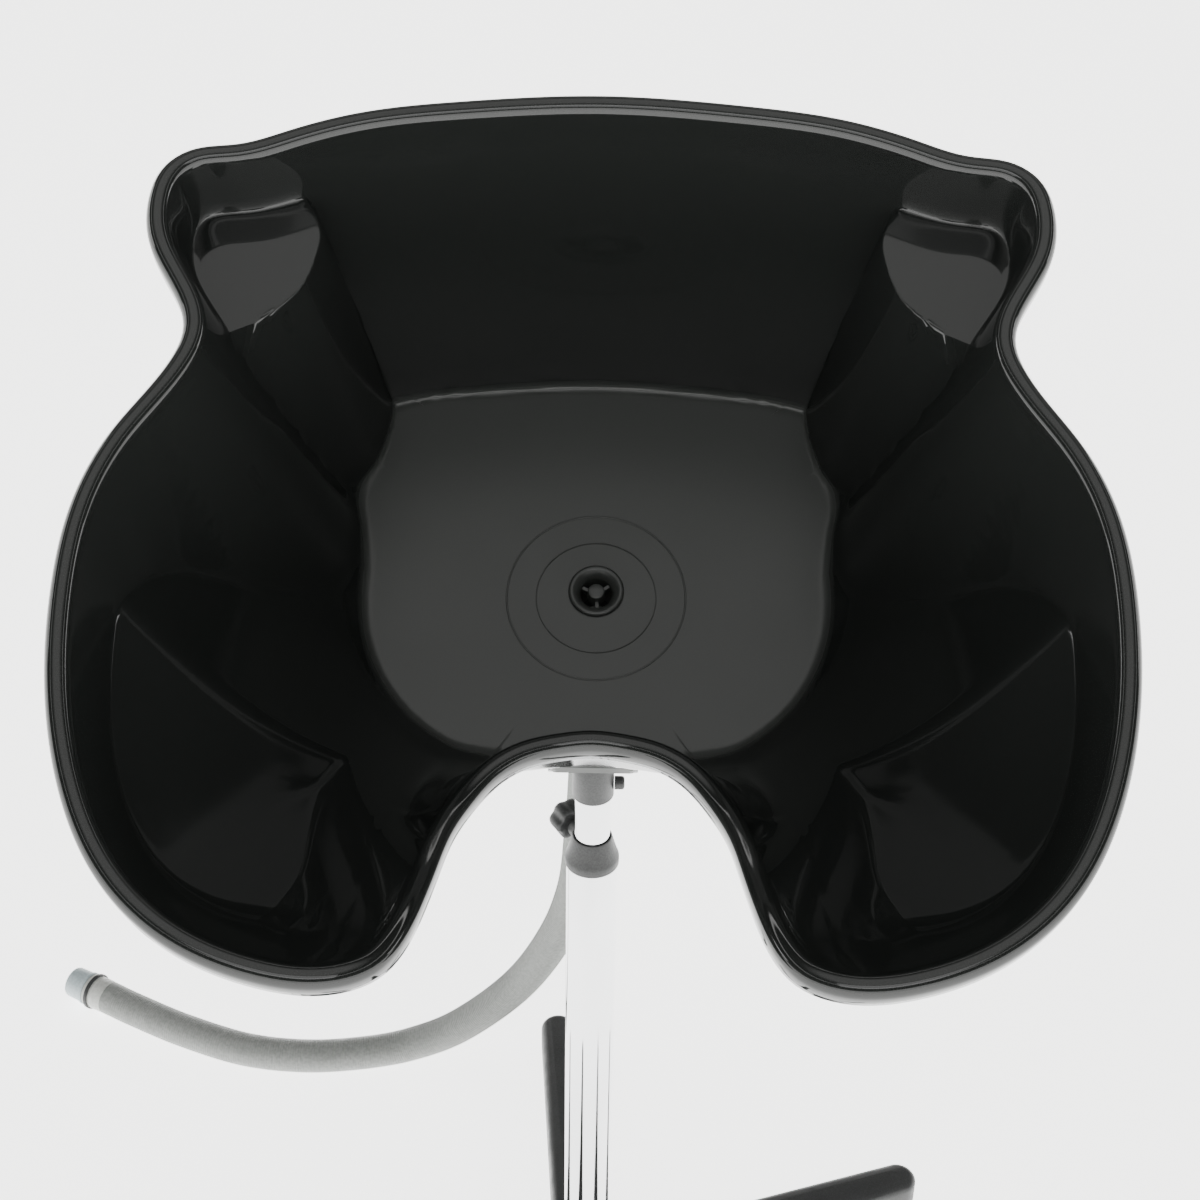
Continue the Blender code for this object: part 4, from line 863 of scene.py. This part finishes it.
def drain():
    axis = Matrix.Translation(basin_point(0, DRAIN_AWAY / 1000, 0)) @ Matrix.Rotation(TILT, 4, "X")
    top = -0.2307
    profile = [(0.0095, -0.262), (0.0129, -0.262), (0.0129, top), (0.0165, top), (0.0165, top + 0.0008)]
    profile += [(0.0159, top + 0.0016), (0.0148, top + 0.0020), (0.0135, top + 0.0017)]
    profile += [(0.0118, top + 0.0004), (0.0100, top - 0.0018), (0.0095, top - 0.0035)]
    turned("drain_rim", profile, axis, "basin", GLOSS, ["drain_flange"], 96, 0)
    profile = [(0, -0.240), (0.0052, -0.240), (0.0052, -0.2325), (0.0047, -0.2306), (0.0030, -0.2301)]
    profile.append((0, -0.2300))
    turned("strainer_hub", profile, axis, "basin", GLOSS, ["drain_strainer"], 48, 0.0002)
    bm = bmesh.new()
    for k in range(3):
        points = []
        spot = axis @ Matrix.Rotation(k * math.tau / 3 + 0.6, 4, "Z")
        for out in (0.0035, 0.0094):
            for side in (-0.0011, 0.0011):
                points += [spot @ Vector((out, side, z)) for z in (-0.2392, -0.2345)]
        joined(bm, hull_mesh(points))
    spokes = piece("strainer_spokes", finished("strainer_spokes", bm), "basin", GLOSS, ())
    softened(spokes, 0.0004, 2)
    circle = axis @ Matrix.Translation((0, -0.004, -0.2302))
    for radius, bead, name in ((0.053, 0.0006, "floor_circle"), (0.0355, 0.0003, "floor_arc")):
        turns = np.arange(10) * math.tau / 10
        profile = [(radius + bead * math.cos(t), 0.55 * bead * math.sin(t)) for t in turns]
        turned(name, profile, circle, "basin", GLOSS, (), 160, 0)
    nut = -0.2363 - 0.009
    profile = [(0.0132, nut - 0.0003), (0.0160, nut - 0.0003), (0.0165, nut - 0.0009), (0.0165, -0.2600)]
    profile += [(0.0162, -0.2625), (0.0146, -0.2655), (0.0140, -0.2665), (0.0140, -0.2735), (0.0095, -0.2735)]
    profile += [(0.0095, -0.2623), (0.0132, -0.2623)]
    turned("nozzle_sleeve", profile, axis, "basin", SATIN, ["hose_nozzle"], 72, 0.0002)
    middle = -0.2835
    profile = [(0.0143, middle - 0.0045), (0.0150, middle - 0.0045), (0.0155, middle - 0.0035)]
    profile += [(0.0150, middle - 0.0030), (0.0150, middle + 0.0030), (0.0155, middle + 0.0035)]
    profile += [(0.0150, middle + 0.0045), (0.0143, middle + 0.0045)]
    turned("clamp_band", profile, axis, "basin", ZINC, ["hose_clamp"], 96, 0.0001)
    points = []
    for x in (-0.026, 0.026):
        for y in (0.031, 0.100):
            for z in (0.2325, 0.243):
                points.append(basin_point(x, y, z))
    pad = piece("bracket_pad", finished("bracket_pad", hull_mesh(points)), "basin", GLOSS, ())
    softened(pad, 0.004, 5)


base()
post()
tilt_clamp()
drain()


# ---------------------------------------------------------------- floor and light

FLOOR_GLOW = 3.4  # the floor is a lit sweep, as in a product studio
FLOOR_REACH = 60.0
# The studio's brightness by a direction's height, from 0 at the horizon to 1 overhead: a pale backdrop, dark
# flags, a thin lit ring that picks out the rim, and a dim ceiling.
SKY = ((0.20, 0.90), (0.28, 0.010), (0.630, 0.008), (0.640, 0.90),
       (0.665, 0.90), (0.675, 0.008), (0.80, 0.03), (0.93, 0.315))
SKY_STRENGTH = 3.7


def stage():
    mesh = bpy.data.meshes.new("floor")
    bm = bmesh.new()
    bmesh.ops.create_grid(bm, x_segments=2, y_segments=2, size=FLOOR_REACH)
    bm.to_mesh(mesh)
    bm.free()
    floor = bpy.data.objects.new("floor", mesh)
    bpy.context.scene.collection.objects.link(floor)
    made = look("pale_floor", (0.93, 0.93, 0.925), 0.6)
    shader = made.node_tree.nodes["Principled BSDF"]
    shader.inputs["Emission Color"].default_value = (1, 1, 0.99, 1)
    shader.inputs["Emission Strength"].default_value = FLOOR_GLOW
    mesh.materials.append(made)
    world = bpy.data.worlds.new("studio")
    bpy.context.scene.world = world
    world.use_nodes = True
    tree = world.node_tree
    ground = tree.nodes["Background"]
    place = tree.nodes.new("ShaderNodeTexCoord")
    split = tree.nodes.new("ShaderNodeSeparateXYZ")
    ramp = tree.nodes.new("ShaderNodeValToRGB")
    while len(ramp.color_ramp.elements) < len(SKY):
        ramp.color_ramp.elements.new(0.5)
    for stop, (at, level) in zip(ramp.color_ramp.elements, SKY):
        stop.position, stop.color = at, (level, level, 0.985 * level, 1)
    tree.links.new(place.outputs["Generated"], split.inputs["Vector"])
    tree.links.new(split.outputs["Z"], ramp.inputs["Fac"])
    tree.links.new(ramp.outputs["Color"], ground.inputs["Color"])
    ground.inputs["Strength"].default_value = SKY_STRENGTH


def panel(name, at, target, size, power):
    data = bpy.data.lights.new(name, "AREA")
    data.shape, data.size, data.size_y, data.energy = "RECTANGLE", *size, power
    obj = bpy.data.objects.new(name, data)
    way = Vector(at) - Vector(target)
    obj.matrix_world = Matrix.Translation(at) @ way.to_track_quat("Z", "Y").to_matrix().to_4x4()
    bpy.context.scene.collection.objects.link(obj)


stage()
panel("softbox", (0, -1.67, 2.18), (0, -0.1, 0.6), (1.6, 0.9), 10)
for side in (-1, 1):
    panel(f"strip_{side + 1}", (side * 2.70, 0.98, 1.75), (0, -0.1, 0.72), (1.7, 0.30), 8)
